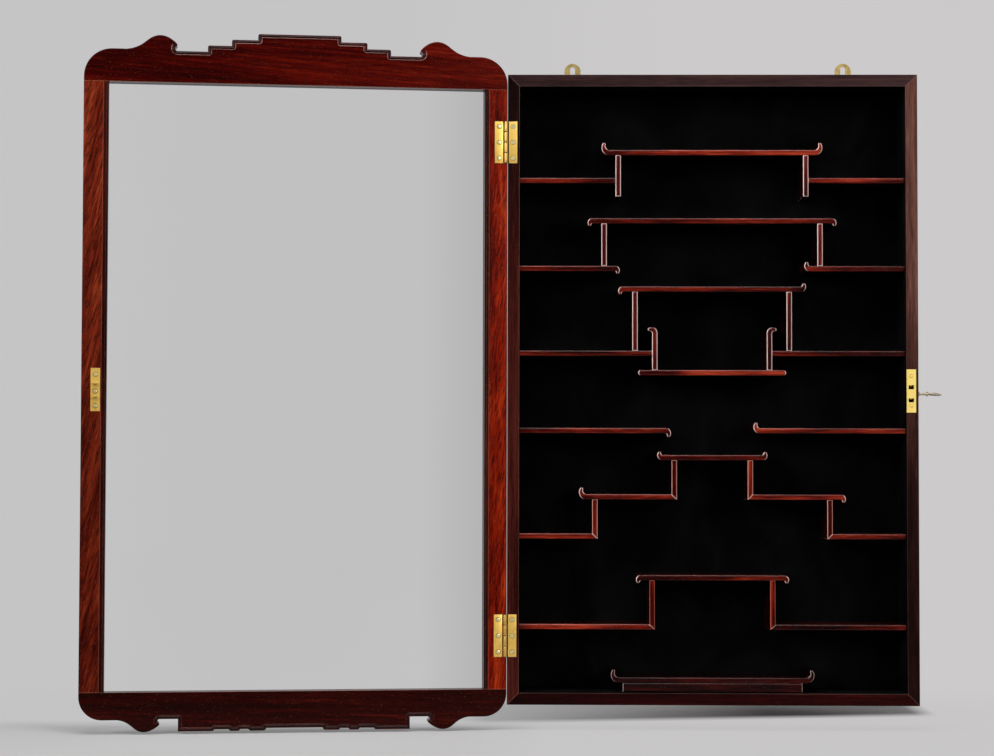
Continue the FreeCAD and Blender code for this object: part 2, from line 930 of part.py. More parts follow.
def shifted_scrolls(half, shift):
    """Both halves of an outline, with all but the door's rounded corners moved sideways."""
    fixed = door_reach - crest_corner_radius

    def move(pair):
        c, h = pair
        return (c + shift, h) if abs(c) < fixed else (c, h)

    moved = []
    for start, middle, end in mirrored_outline(half):
        if isinstance(middle, list):
            through = [move(pair) for pair in middle]
        else:
            through = None if middle is None else move(middle)
        moved.append((move(start), through, move(end)))
    return moved


def rail(outline, side):
    """A rail of the door's thickness from its outline, above the glass or below it."""

    def place(pair):
        c, h = pair
        return door_point(door_reach + c, door_thickness, side * (rail_line + h))

    segments = []
    for start, middle, end in outline:
        if isinstance(middle, list):
            through = [place(pair) for pair in middle]
        else:
            through = None if middle is None else place(middle)
        segments.append((place(start), through, place(end)))
    segments.append((segments[-1][2], None, segments[0][0]))
    solid = slab(segments, door_thickness)
    sight = door_point(door_reach, 0, side * rail_line)
    outer = Vector(sight.x, door_face_y - door_thickness, sight.z)
    softened = round_front(solid, door_face_y, crest_edge_round, [sight])
    softened = round_front(softened, door_face_y - door_thickness, crest_edge_round, [outer])
    groove = door_block(
        (hinge_stile_flat, door_width - lock_stile_flat),
        (glass_inset, glass_inset + glass_thickness),
        (side * (rail_line - overrun), side * (rail_line + rail_groove_depth)),
    )
    return softened.cut([groove] + tenon_blocks())


def glass_pane():
    """The pane, standing in the lower rail's groove."""
    return door_block(
        (hinge_stile_flat + glass_side_gap, door_width - lock_stile_flat - glass_side_gap),
        (glass_inset, glass_inset + glass_thickness),
        (-rail_line - rail_groove_depth, rail_line + rail_groove_depth - glass_top_gap),
    )


# Hinges


def knuckles(centre_z, first, radius, bore):
    """Every other knuckle of a hinge, counted from the top."""
    pitch = hinge_length / knuckle_count
    solids = []
    for index in range(first, knuckle_count, 2):
        foot = centre_z + hinge_length / 2 - (index + 1) * pitch + knuckle_end_play / 2
        base = Vector(pin_x, pin_y, foot)
        length = pitch - knuckle_end_play
        ring = Part.makeCylinder(radius, length, base, Z)
        hole = Part.makeCylinder(bore, length, base, Z)
        web = box(
            (pin_x, pin_x + radius + knuckle_clearance + overrun),
            leaf_depths(first),
            (foot, foot + length),
        )
        solids.append(ring.fuse(web).cut(hole))
    return solids


def leaf_depths(first):
    """The Y range of a leaf: the case's leaf, or the door's."""
    if first == 1:
        return (front_y, front_y + hinge_leaf_thickness)
    return (door_face_y, door_face_y - hinge_leaf_thickness)


def hinge_leaf(centre_z, first, bore):
    """One leaf with its knuckles: first 0 is the door's leaf, 1 the case's."""
    half = hinge_length / 2
    plate = box(
        (pin_x + knuckle_radius + knuckle_clearance, pin_x + hinge_leaf_reach),
        leaf_depths(first),
        (centre_z - half, centre_z + half),
    )
    return plate.fuse(knuckles(centre_z, first, knuckle_radius, bore)).removeSplitter()


def hinge_recess(centre_z, first):
    """The wood cut away for a leaf, its webs and the knuckles."""
    half = hinge_length / 2
    flat = box(
        (pin_x, pin_x + hinge_leaf_reach), leaf_depths(first), (centre_z - half, centre_z + half)
    )
    radius = knuckle_radius + knuckle_clearance
    length = hinge_length + 2 * knuckle_clearance
    base = Vector(pin_x, pin_y, centre_z - half - knuckle_clearance)
    return [flat, Part.makeCylinder(radius, length, base, Z)]


def edge_notch(centre_z):
    """The door's edge cut back to the pin line, so that it passes the case's leaf."""
    half = hinge_length / 2 + knuckle_clearance
    return door_block(
        (-overrun, door_edge_reach),
        (-overrun, hinge_leaf_thickness + knuckle_clearance),
        (centre_z - half, centre_z + half),
    )


def hinge_screw_places(y):
    """Screw places on both hinges' leaves in one Y plane."""
    places = []
    for centre_z in (hinge_offset, -hinge_offset):
        for step in (-1, 0, 1):
            x = pin_x + hinge_screw_reach
            places.append(Vector(x, y, centre_z + step * hinge_screw_spread))
    return places


# Lock, key and link plate


def depth_range(front, back):
    """A Y range behind the case's front face."""
    return (front_y + front, front_y + back)


def keyhole(x_range):
    """The round hole and the slot behind it that the key's bit passes."""
    x0, x1 = x_range
    z = lock_slot_middle
    y = front_y + key_depth
    radius = key_barrel_radius + key_hole_gap
    half_slot = key_bit_thickness / 2 + key_hole_gap
    ring = Part.makeCylinder(radius, x1 - x0, Vector(x0, y, z), X)
    slot = box(x_range, (y, y + key_bit_radius + key_hole_gap), (z - half_slot, z + half_slot))
    return ring.fuse(slot)


def lock_case_solid():
    """The folded case, open at the inner side and closed in front by the faceplate."""
    outside = box(
        (lock_body_left, lock_body_right),
        (lock_body_front, lock_body_back),
        (lock_body_foot, lock_body_top),
    )
    inside = box(
        (lock_body_left - overrun, lock_body_right - lock_sheet),
        (lock_body_front - overrun, lock_body_back - lock_sheet),
        (lock_body_foot + lock_sheet, lock_body_top - lock_sheet),
    )
    hole = keyhole((lock_body_right - lock_sheet - overrun, lock_body_right + overrun))
    return outside.cut([inside, hole])


def lock_cover_solid():
    """The cover that closes the case's inner side and carries the drill pin."""
    cover = box(
        (lock_body_left, lock_body_left + lock_cover_sheet),
        (lock_body_front, lock_body_back - lock_sheet),
        (lock_body_foot + lock_sheet, lock_body_top - lock_sheet),
    )
    return cover.cut(drill_pin_solid())


def drill_pin_solid():
    """The pin that the pipe key slides over."""
    base = Vector(lock_body_left, front_y + key_depth, lock_slot_middle)
    return Part.makeCylinder(drill_pin_radius, lock_body_thickness, base, X)


def lock_faceplate_solid():
    """The plate in the case's front edge, with two slots for the links."""
    half = lock_plate_height / 2
    plate = box(
        (inner_x, inner_x + lock_plate_width),
        (front_y, front_y + lock_plate_thickness),
        (lock_plate_centre - half, lock_plate_centre + half),
    )
    half_slot = lock_slot_width / 2
    cuts = []
    for z in slot_heights:
        cuts.append(
            box(
                (lock_x - half_slot, lock_x + half_slot),
                depth_range(-overrun, lock_plate_thickness + overrun),
                (z - lock_slot_height / 2, z + lock_slot_height / 2),
            )
        )
    return plate.cut(cuts)


def bolt_solid():
    """The sliding bolt, drawn back: two hooks pointing down, a rib and a block with the talon."""
    half_finger = bolt_finger_width / 2
    finger_x = (lock_x - half_finger, lock_x + half_finger)
    block_x = (
        lock_body_left + lock_cover_sheet + bolt_side_gap,
        lock_body_right - lock_sheet - bolt_side_gap,
    )
    solids = []
    tips = [z + link_height / 2 + link_gap for z in slot_heights]
    for tip in tips:
        root = tip + bolt_throw
        finger_range = depth_range(bolt_finger_front, bolt_finger_front + bolt_finger_depth)
        solids.append(box(finger_x, finger_range, (tip, root + bolt_arm_height)))
        arm_range = depth_range(bolt_finger_front, bolt_block_front)
        solids.append(box(finger_x, arm_range, (root, root + bolt_arm_height)))
    head = tips[0] + bolt_throw + bolt_arm_height + bolt_head_margin
    talon = lock_slot_middle + bolt_throw / 2
    foot = talon - talon_half_height - bolt_tail_height
    solids.append(box(finger_x, depth_range(bolt_rib_front, bolt_block_front), (foot, head)))
    block = box(block_x, depth_range(bolt_block_front, bolt_block_back), (foot, head))
    notch = box(
        (block_x[0] - overrun, block_x[1] + overrun),
        depth_range(bolt_block_back - talon_depth, bolt_block_back + overrun),
        (talon - talon_half_height, talon + talon_half_height),
    )
    return solids[0].fuse(solids[1:] + [block.cut(notch)]).removeSplitter()


def bolt_spring_solid():
    """A leaf that hangs from the case's top and rubs on the bolt's back to hold it where it is."""
    top = lock_body_top - lock_sheet
    front = bolt_block_back + spring_gap
    half = spring_width / 2
    middle = (lock_body_left + lock_cover_sheet + lock_body_right - lock_sheet) / 2
    leaf = box(
        (middle - half, middle + half),
        depth_range(front, front + spring_thickness),
        (top - spring_length, top),
    )
    foot = box(
        (middle - half, middle + half),
        depth_range(front, front + spring_width),
        (top - spring_thickness, top),
    )
    return leaf.fuse(foot).removeSplitter()


def key_bow():
    """A flat oval bow with two openings either side of a middle bar, in the XY plane."""
    start = half_width + key_stem
    middle = start + key_bow_length / 2
    centre = Vector(middle, 0, -key_bow_thickness / 2)

    def oval(long_radius, short_radius):
        ellipse = Part.Ellipse(Vector(0, 0, 0), long_radius, short_radius)
        face = Part.Face(Part.Wire([ellipse.toShape()]))
        solid = face.extrude(Z * key_bow_thickness)
        solid.rotate(Vector(0, 0, 0), Z, 90)
        solid.translate(centre)
        return solid

    outer = oval(key_bow_width / 2, key_bow_length / 2)
    inner = oval(key_bow_width / 2 - key_bow_wire, key_bow_length / 2 - key_bow_wire)
    half_bar = key_bow_wire / 2
    bar = box(
        (start, start + key_bow_length),
        (-half_bar, half_bar),
        (-key_bow_thickness / 2, key_bow_thickness / 2),
    )
    return outer.cut(inner.cut(bar))


def key_solid():
    """A pipe key in the lock, its bit turned to the back where it can be drawn out."""
    start = lock_body_left + lock_cover_sheet + key_end_gap
    end = half_width + key_stem
    barrel = Part.makeCylinder(key_barrel_radius, half_width - start, Vector(start, 0, 0), X)
    neck = Part.makeCylinder(
        key_neck_radius, end + key_bow_wire / 2 - half_width, Vector(half_width, 0, 0), X
    )
    collars = []
    for place in (half_width + key_collar_width, end - 2 * key_collar_width):
        collars.append(
            Part.makeCylinder(key_collar_radius, key_collar_width, Vector(place, 0, 0), X)
        )
    half_bit = key_bit_thickness / 2
    bit = box((start, start + key_bit_width), (0, key_bit_radius), (-half_bit, half_bit))
    bow = key_bow()
    bow.rotate(Vector(0, 0, 0), X, key_bow_twist)
    solid = barrel.fuse([neck, bit, bow] + collars)
    bore_radius = drill_pin_radius + drill_pin_gap
    bore_length = lock_body_right - start + overrun
    bore = Part.makeCylinder(bore_radius, bore_length, Vector(start, 0, 0), X)
    solid = solid.cut(bore)
    solid.translate(Vector(0, front_y + key_depth, lock_slot_middle))
    return solid.removeSplitter()


def link_plate_solid():
    """The plate let into the door's lock stile, closed pose."""
    half = link_plate_width / 2
    height = link_plate_height / 2
    plate = box(
        (lock_x - half, lock_x + half),
        (door_face_y, door_face_y - lock_plate_thickness),
        (link_plate_centre - height, link_plate_centre + height),
    )
    return plate


def link_solids():
    """Two flat staples that go through the plate and stand out towards the lock."""
    half = link_width / 2
    hole_half = half - link_leg
    solids = []
    for z in slot_heights:
        z_range = (z - link_height / 2, z + link_height / 2)
        staple = box(
            (lock_x - half, lock_x + half),
            (door_face_y - lock_plate_thickness, door_face_y + link_reach),
            z_range,
        )
        hole_end = door_face_y + link_reach - link_end_bar
        hole = box(
            (lock_x - hole_half, lock_x + hole_half),
            (hole_end - link_hole_length, hole_end),
            (z_range[0] - overrun, z_range[1] + overrun),
        )
        solids.append(staple.cut(hole))
    return solids


def link_screw_places():
    """Three screws in the link plate."""
    offsets = (link_screw_top, link_screw_middle, link_screw_foot)
    return [Vector(lock_x, door_face_y, link_plate_centre + offset) for offset in offsets]


# Assembly


def build_case(nodes):
    """Case boards with everything that is cut into them."""
    case_boards = {
        "case_left_side": trapezoid_side(),
        "case_right_side": mirrored(trapezoid_side()),
        "case_top_board": trapezoid_top(),
        "case_bottom_board": trapezoid_top().mirror(Vector(0, 0, 0), Z),
    }
    back = rebate_block()
    back_lining, wall_linings = build_linings()
    housed = []
    for name, solids in nodes.items():
        if name.startswith("wing"):
            housed += solids

    back_blanks, back_screws = screw_set(back_screw_places(), Y, small=True)
    hanger_blanks, hanger_screws = screw_set(hanger_screw_places(), Y)
    leaf_blanks, leaf_screws = screw_set(hinge_screw_places(front_y), -Y)
    lock_places = []
    for step in (-1, 1):
        lock_places.append(Vector(lock_x, front_y, lock_plate_centre + step * lock_screw_spread))
    lock_blanks, lock_screws = screw_set(lock_places, -Y)

    plate = hanger_plate()
    plates = []
    for side in (-1, 1):
        moved = plate.copy()
        moved.translate(X * (side * hanger_offset))
        plates.append(moved)

    hinge_cuts = hinge_recess(hinge_offset, 1) + hinge_recess(-hinge_offset, 1)
    lock_pocket = box(
        (lock_body_left, lock_body_right),
        (lock_body_front, lock_body_back),
        (lock_body_foot, lock_body_top),
    )
    half = lock_plate_height / 2
    plate_pocket = box(
        (inner_x, inner_x + lock_plate_width),
        (front_y, lock_body_front),
        (lock_plate_centre - half, lock_plate_centre + half),
    )
    key_way = keyhole((lock_body_right - overrun, half_width + overrun))

    case_boards["case_left_side"] = case_boards["case_left_side"].cut(
        [back] + housed + hinge_cuts + leaf_blanks + back_blanks
    )
    case_boards["case_right_side"] = case_boards["case_right_side"].cut(
        [back] + housed + [lock_pocket, plate_pocket, key_way] + lock_blanks + back_blanks
    )
    case_boards["case_top_board"] = case_boards["case_top_board"].cut(
        [back] + plates + hanger_blanks + back_blanks
    )
    case_boards["case_bottom_board"] = case_boards["case_bottom_board"].cut([back] + back_blanks)
    for name, solid in case_boards.items():
        nodes[name] = [solid]

    nodes["back_board"] = [back.cut(plates + back_blanks)]
    nodes["back_board_screws"] = back_screws
    nodes["velvet_back_lining"] = [back_lining]
    nodes["velvet_wall_lining"] = [skin.cut(housed) for skin in wall_linings]
    nodes["hanging_plates"] = [solid.cut(hanger_blanks) for solid in plates]
    nodes["hanging_plate_screws"] = hanger_screws

    leaves = [hinge_leaf(z, 1, hinge_pin_radius) for z in (hinge_offset, -hinge_offset)]
    nodes["hinge_case_leaves"] = [leaf.cut(leaf_blanks) for leaf in leaves]
    nodes["hinge_case_screws"] = leaf_screws
    pins = []
    for z in (hinge_offset, -hinge_offset):
        base = Vector(pin_x, pin_y, z - hinge_length / 2)
        pins.append(Part.makeCylinder(hinge_pin_radius, hinge_length, base, Z))
    nodes["hinge_pins"] = pins

    nodes["lock_case"] = [lock_case_solid()]
    nodes["lock_cover"] = [lock_cover_solid()]
    nodes["lock_faceplate"] = [lock_faceplate_solid().cut(lock_blanks)]
    nodes["lock_drill_pin"] = [drill_pin_solid()]
    nodes["lock_bolt_spring"] = [bolt_spring_solid()]
    nodes["lock_screws"] = lock_screws
    nodes["lock_bolt"] = [bolt_solid()]
    nodes["lock_key"] = [key_solid()]


def build_door(nodes):
    """Door pieces, drawn closed and then swung open."""
    tenons = tenon_blocks()
    hinge_tenons = tenons[:2]
    lock_tenons = tenons[2:]
    leaf_blanks, leaf_screws = screw_set(hinge_screw_places(door_face_y), Y)
    link_blanks, link_screws = screw_set(link_screw_places(), Y)
    links = link_solids()
    plate = link_plate_solid()
    hinge_cuts = []
    for z in (hinge_offset, -hinge_offset):
        hinge_cuts += hinge_recess(z, 0) + [edge_notch(z)]

    hinge_stile = stile(0.0, hinge_stile_flat, hinge_stile_width, hinge_tenons)
    lock_stile = stile(
        door_width, door_width - lock_stile_flat, door_width - lock_stile_width, lock_tenons
    )
    pieces = {
        "door_hinge_stile": [hinge_stile.cut(hinge_cuts + leaf_blanks)],
        "door_lock_stile": [lock_stile.cut([plate] + link_blanks)],
        "door_crest_rail": [rail(shifted_scrolls(crest_half(), crest_shift), 1)],
        "door_apron_rail": [rail(mirrored_outline(apron_half()), -1)],
        "door_glass": [glass_pane()],
        "glazing_beads": [
            bead(hinge_stile_flat, hinge_stile_width),
            bead(door_width - lock_stile_flat, door_width - lock_stile_width),
        ],
        "hinge_door_leaves": [
            hinge_leaf(z, 0, hinge_pin_radius + hinge_running_gap).cut(leaf_blanks)
            for z in (hinge_offset, -hinge_offset)
        ],
        "hinge_door_screws": leaf_screws,
        "link_plate": [plate.cut(links + link_blanks)],
        "link_staples": links,
        "link_plate_screws": link_screws,
    }
    for name, solids in pieces.items():
        nodes[name] = [swing_open(solid) for solid in solids]


def export(nodes):
    """One STEP file for each node, and a line that says what it holds."""
    os.makedirs("parts", exist_ok=True)
    for name, solids in nodes.items():
        kept = []
        for shape in solids:
            kept += shape.Solids
        shape = kept[0] if len(kept) == 1 else Part.makeCompound(kept)
        shape.exportStep("parts/" + name + ".step")
        valid = all(solid.isValid() and solid.Volume > 0 for solid in kept)
        print(name, len(kept), "solids", round(shape.Volume / 1000, 2), "cm3", "valid", valid)


def main():
    nodes = build_shelves()
    build_case(nodes)
    build_door(nodes)
    export(nodes)
    print("nodes", len(nodes))


main()
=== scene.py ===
"""Looks of a wall-hung display cabinet: rosewood door, dark case, lacquered shelves on velvet, brass."""

import json
import logging
import math
from contextlib import contextmanager
from dataclasses import dataclass
from enum import Enum
from typing import Any, Iterable, Iterator, Sequence

import bpy
import numpy as np
from mathutils import Matrix, Vector

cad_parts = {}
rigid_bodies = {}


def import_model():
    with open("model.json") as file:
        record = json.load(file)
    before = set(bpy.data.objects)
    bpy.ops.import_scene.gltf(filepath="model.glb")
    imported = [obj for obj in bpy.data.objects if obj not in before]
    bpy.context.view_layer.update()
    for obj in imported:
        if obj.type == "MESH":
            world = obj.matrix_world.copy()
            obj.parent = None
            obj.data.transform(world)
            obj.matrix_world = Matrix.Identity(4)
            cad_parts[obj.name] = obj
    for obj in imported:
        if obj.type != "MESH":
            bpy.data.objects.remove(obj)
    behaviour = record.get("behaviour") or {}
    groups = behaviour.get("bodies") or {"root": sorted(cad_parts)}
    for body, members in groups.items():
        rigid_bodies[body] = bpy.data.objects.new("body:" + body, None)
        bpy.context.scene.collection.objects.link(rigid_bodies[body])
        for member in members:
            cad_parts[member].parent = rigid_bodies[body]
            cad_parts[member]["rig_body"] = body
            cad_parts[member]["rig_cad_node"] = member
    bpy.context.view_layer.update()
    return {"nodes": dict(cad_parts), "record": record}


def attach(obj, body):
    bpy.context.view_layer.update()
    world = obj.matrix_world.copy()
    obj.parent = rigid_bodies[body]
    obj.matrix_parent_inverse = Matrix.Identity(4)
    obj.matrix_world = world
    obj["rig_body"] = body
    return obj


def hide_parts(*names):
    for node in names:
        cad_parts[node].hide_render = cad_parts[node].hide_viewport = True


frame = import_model()

log = logging.getLogger("cabinet")
logging.basicConfig(level=logging.INFO, format="%(name)s: %(message)s")

Colour = tuple[float, float, float, float]
Tones = tuple[Colour, ...]
Reach = tuple[float, float]
Point = Sequence[float]
Socket = bpy.types.NodeSocket
Node = bpy.types.Node
Piece = bpy.types.Object
Material = bpy.types.Material

MM = 0.001
ZERO = (0.0, 0.0, 0.0)
WHITE: Colour = (1.0, 1.0, 1.0, 1.0)
DOOR_ANGLE = math.radians(172.0)
HINGE_AXIS = Vector((-0.2461, -0.0783, 0.0))
DOOR_TURN = Matrix.Rotation(-DOOR_ANGLE, 4, "Z")
DOOR_BACK = DOOR_TURN @ Matrix.Rotation(math.pi, 4, "Z")
DOOR_SWING = Matrix.Translation(HINGE_AXIS) @ DOOR_TURN @ Matrix.Translation(-HINGE_AXIS)


def tint(red: float, green: float, blue: float) -> Colour:
    """Colour that a screen shows as these parts of 255.

    Args:
        red: Red part.
        green: Green part.
        blue: Blue part.

    Returns:
        The colour in the shader's own linear numbers.
    """
    knee, slope, lift, gamma = 0.04045, 12.92, 0.055, 2.4
    parts = (part / 255.0 for part in (red, green, blue))
    plain = [part / slope if part <= knee else ((part + lift) / (1 + lift)) ** gamma for part in parts]
    return (*plain, 1.0)


def shades(*parts: Point) -> Tones:
    """A wood's colours from dark to light, each in parts of 255."""
    return tuple(tint(*part) for part in parts)


class Grain(Enum):
    """Way that a board's fibres run, as the turn that lays the X axis along them."""

    LEVEL = ZERO
    UPRIGHT = (0.0, -math.pi / 2, 0.0)
    DOOR_LEVEL = (0.0, 0.0, -DOOR_ANGLE)
    DOOR_UPRIGHT = (0.0, -math.pi / 2, -DOOR_ANGLE)


@dataclass(frozen=True)
class Signal:
    """A number that varies over a surface, held as one output of a node tree."""

    recipe: "Recipe"
    socket: Socket

    def __add__(self, other: "Amount") -> "Signal":
        """Sum of the two."""
        return self.recipe.reckon("ADD", self, other)

    __radd__ = __add__

    def __sub__(self, other: "Amount") -> "Signal":
        """This less the other."""
        return self.recipe.reckon("SUBTRACT", self, other)

    def __rsub__(self, other: float) -> "Signal":
        """The other less this."""
        return self.recipe.reckon("SUBTRACT", other, self)

    def __mul__(self, other: "Amount") -> "Signal":
        """Product of the two."""
        return self.recipe.reckon("MULTIPLY", self, other)

    __rmul__ = __mul__

    def __truediv__(self, other: "Amount") -> "Signal":
        """This over the other."""
        return self.recipe.reckon("DIVIDE", self, other)

    def __abs__(self) -> "Signal":
        """This without its sign."""
        return self.recipe.reckon("ABSOLUTE", self, 0.0)

    def held(self) -> "Signal":
        """This, kept between 0 and 1."""
        return self.recipe.reckon("ADD", self, 0.0, use_clamp=True)

    def above(self, start: float, end: float) -> "Signal":
        """How far this has come from start to end, from 0 to 1."""
        return ((self - start) / (end - start)).held()


Amount = Signal | float


class Recipe:
    """A material or a world in the making: its node tree and what adds to it."""

    def __init__(self, owner: Material | bpy.types.World) -> None:
        """Empties the node tree of a new material or world.

        Args:
            owner: The material or world.
        """
        self.owner = owner
        owner.use_nodes = True
        self.tree = owner.node_tree
        self.tree.nodes.clear()

    def add(self, kind: str, feeds: dict | None = None, **settings: Any) -> Node:
        """Adds a node.

        Args:
            kind: The node's type.
            feeds: Values or links by socket.
            **settings: Its properties, and a ramp's colours, evenly spaced, as stops.

        Returns:
            The node.
        """
        node = self.tree.nodes.new(kind)
        stops = settings.pop("stops", ())
        for name, value in settings.items():
            setattr(node, name, value)
        while stops and len(node.color_ramp.elements) < len(stops):
            node.color_ramp.elements.new(1.0)
        for index, colour in enumerate(stops):
            element = node.color_ramp.elements[index]
            element.position, element.color = index / (len(stops) - 1), colour
        for key, value in (feeds or {}).items():
            value = value.socket if isinstance(value, Signal) else value
            if isinstance(value, Socket):
                self.tree.links.new(value, node.inputs[key])
            else:
                node.inputs[key].default_value = value
        return node

    def reckon(self, operation: str, first: Amount, second: Amount, use_clamp: bool = False) -> Signal:
        """Adds a Math node for two numbers."""
        node = self.add("ShaderNodeMath", {0: first, 1: second}, operation=operation, use_clamp=use_clamp)
        return Signal(self, node.outputs[0])

    def part(self, vector: Socket, axis: int) -> Signal:
        """Adds one coordinate of a vector."""
        return Signal(self, self.add("ShaderNodeSeparateXYZ", {0: vector}).outputs[axis])

    def place(self, lengths: Point, turn: Point = ZERO, centre: Point = ZERO) -> Socket:
        """Coordinates of a surface, turned and measured in a pattern's own lengths.

        Args:
            lengths: The pattern's size along its own axes, in metres.
            turn: The pattern's turn about X, Y and Z.
            centre: The point that the turn goes round.

        Returns:
            The coordinates' socket.
        """
        source = self.add("ShaderNodeTexCoord").outputs["Object"]
        feeds = {"Vector": source, "Location": centre, "Rotation": turn, "Scale": lengths}
        return self.add("ShaderNodeMapping", feeds, vector_type="TEXTURE").outputs[0]

    def noise(self, place: Socket, layers: float, wander: float = 0.0) -> Signal:
        """Adds a noise around 0.5, with finer layers and lines that wander."""
        feeds = {"Vector": place, "Scale": 1.0, "Detail": layers, "Distortion": wander}
        return Signal(self, self.add("ShaderNodeTexNoise", feeds).outputs[0])

    def cloud(self, level: float, upright: float, layers: float, wander: float = 0.0) -> Signal:
        """Adds a noise whose level and upright lengths are in millimetres."""
        return self.noise(self.place((level * MM, level * MM, upright * MM)), layers, wander)

    def blend(self, share: Amount, first: Any, second: Any) -> Socket:
        """Mixes two colours, where share says how much of the second shows."""
        return self.add("ShaderNodeMix", {0: share, 6: first, 7: second}, data_type="RGBA").outputs[2]

    def arris(self, reach: float, upward: float = 0.0) -> Signal:
        """Adds a mask that is 1 at a piece's sharp edges.

        Args:
            reach: How far from the edge it starts, in metres.
            upward: How much of it is kept for the edges that look up, as a painted highlight from the light
                above.

        Returns:
            The mask.
        """
        eased = self.add("ShaderNodeBevel", {"Radius": reach}, samples=4).outputs[0]
        flat = self.add("ShaderNodeNewGeometry").outputs["Normal"]
        match = self.add("ShaderNodeVectorMath", {0: eased, 1: flat}, operation="DOT_PRODUCT")
        rim = (1.0 - Signal(self, match.outputs["Value"])).above(0.02, 0.22)
        return rim * (self.part(eased, 2).above(-0.3, 0.3) * upward + (1.0 - upward)) if upward else rim

    def facing(self, axis: int) -> Signal:
        """Adds how far a surface looks along one axis, from -1 to 1."""
        return self.part(self.add("ShaderNodeNewGeometry").outputs["Normal"], axis)

    def along(self, turn: Point, centre: Point, axis: int) -> Signal:
        """Adds the distance along one axis of a turned frame, in metres."""
        return self.part(self.place((1.0, 1.0, 1.0), turn, centre), axis)

    def mix(self, share: Signal, first: Node, second: Node) -> Node:
        """Mixes two shaders, where share says how much of the second shows."""
        return self.add("ShaderNodeMixShader", {0: share, 1: first.outputs[0], 2: second.outputs[0]})

    def finish(self, shader: Node, output: str = "ShaderNodeOutputMaterial") -> Any:
        """Ends the tree with a shader and gives the finished material or world."""
        self.add(output, {0: shader.outputs[0]})
        return self.owner

    def surface(self, feeds: dict[str, Any], height: Signal, lift: float) -> Material:
        """Finishes the material with one shader and a relief of this lift in metres."""
        bump = self.add("ShaderNodeBump", {"Strength": 1.0, "Distance": lift, "Height": height})
        return self.finish(self.add("ShaderNodeBsdfPrincipled", {**feeds, "Normal": bump.outputs[0]}))


@dataclass(frozen=True)
class Slope:
    """A change across a board: the grain's axis that it follows, where it starts and ends, and its size."""

    axis: int = 0
    start: float = 0.0
    end: float = 1.0
    gain: float = 0.0


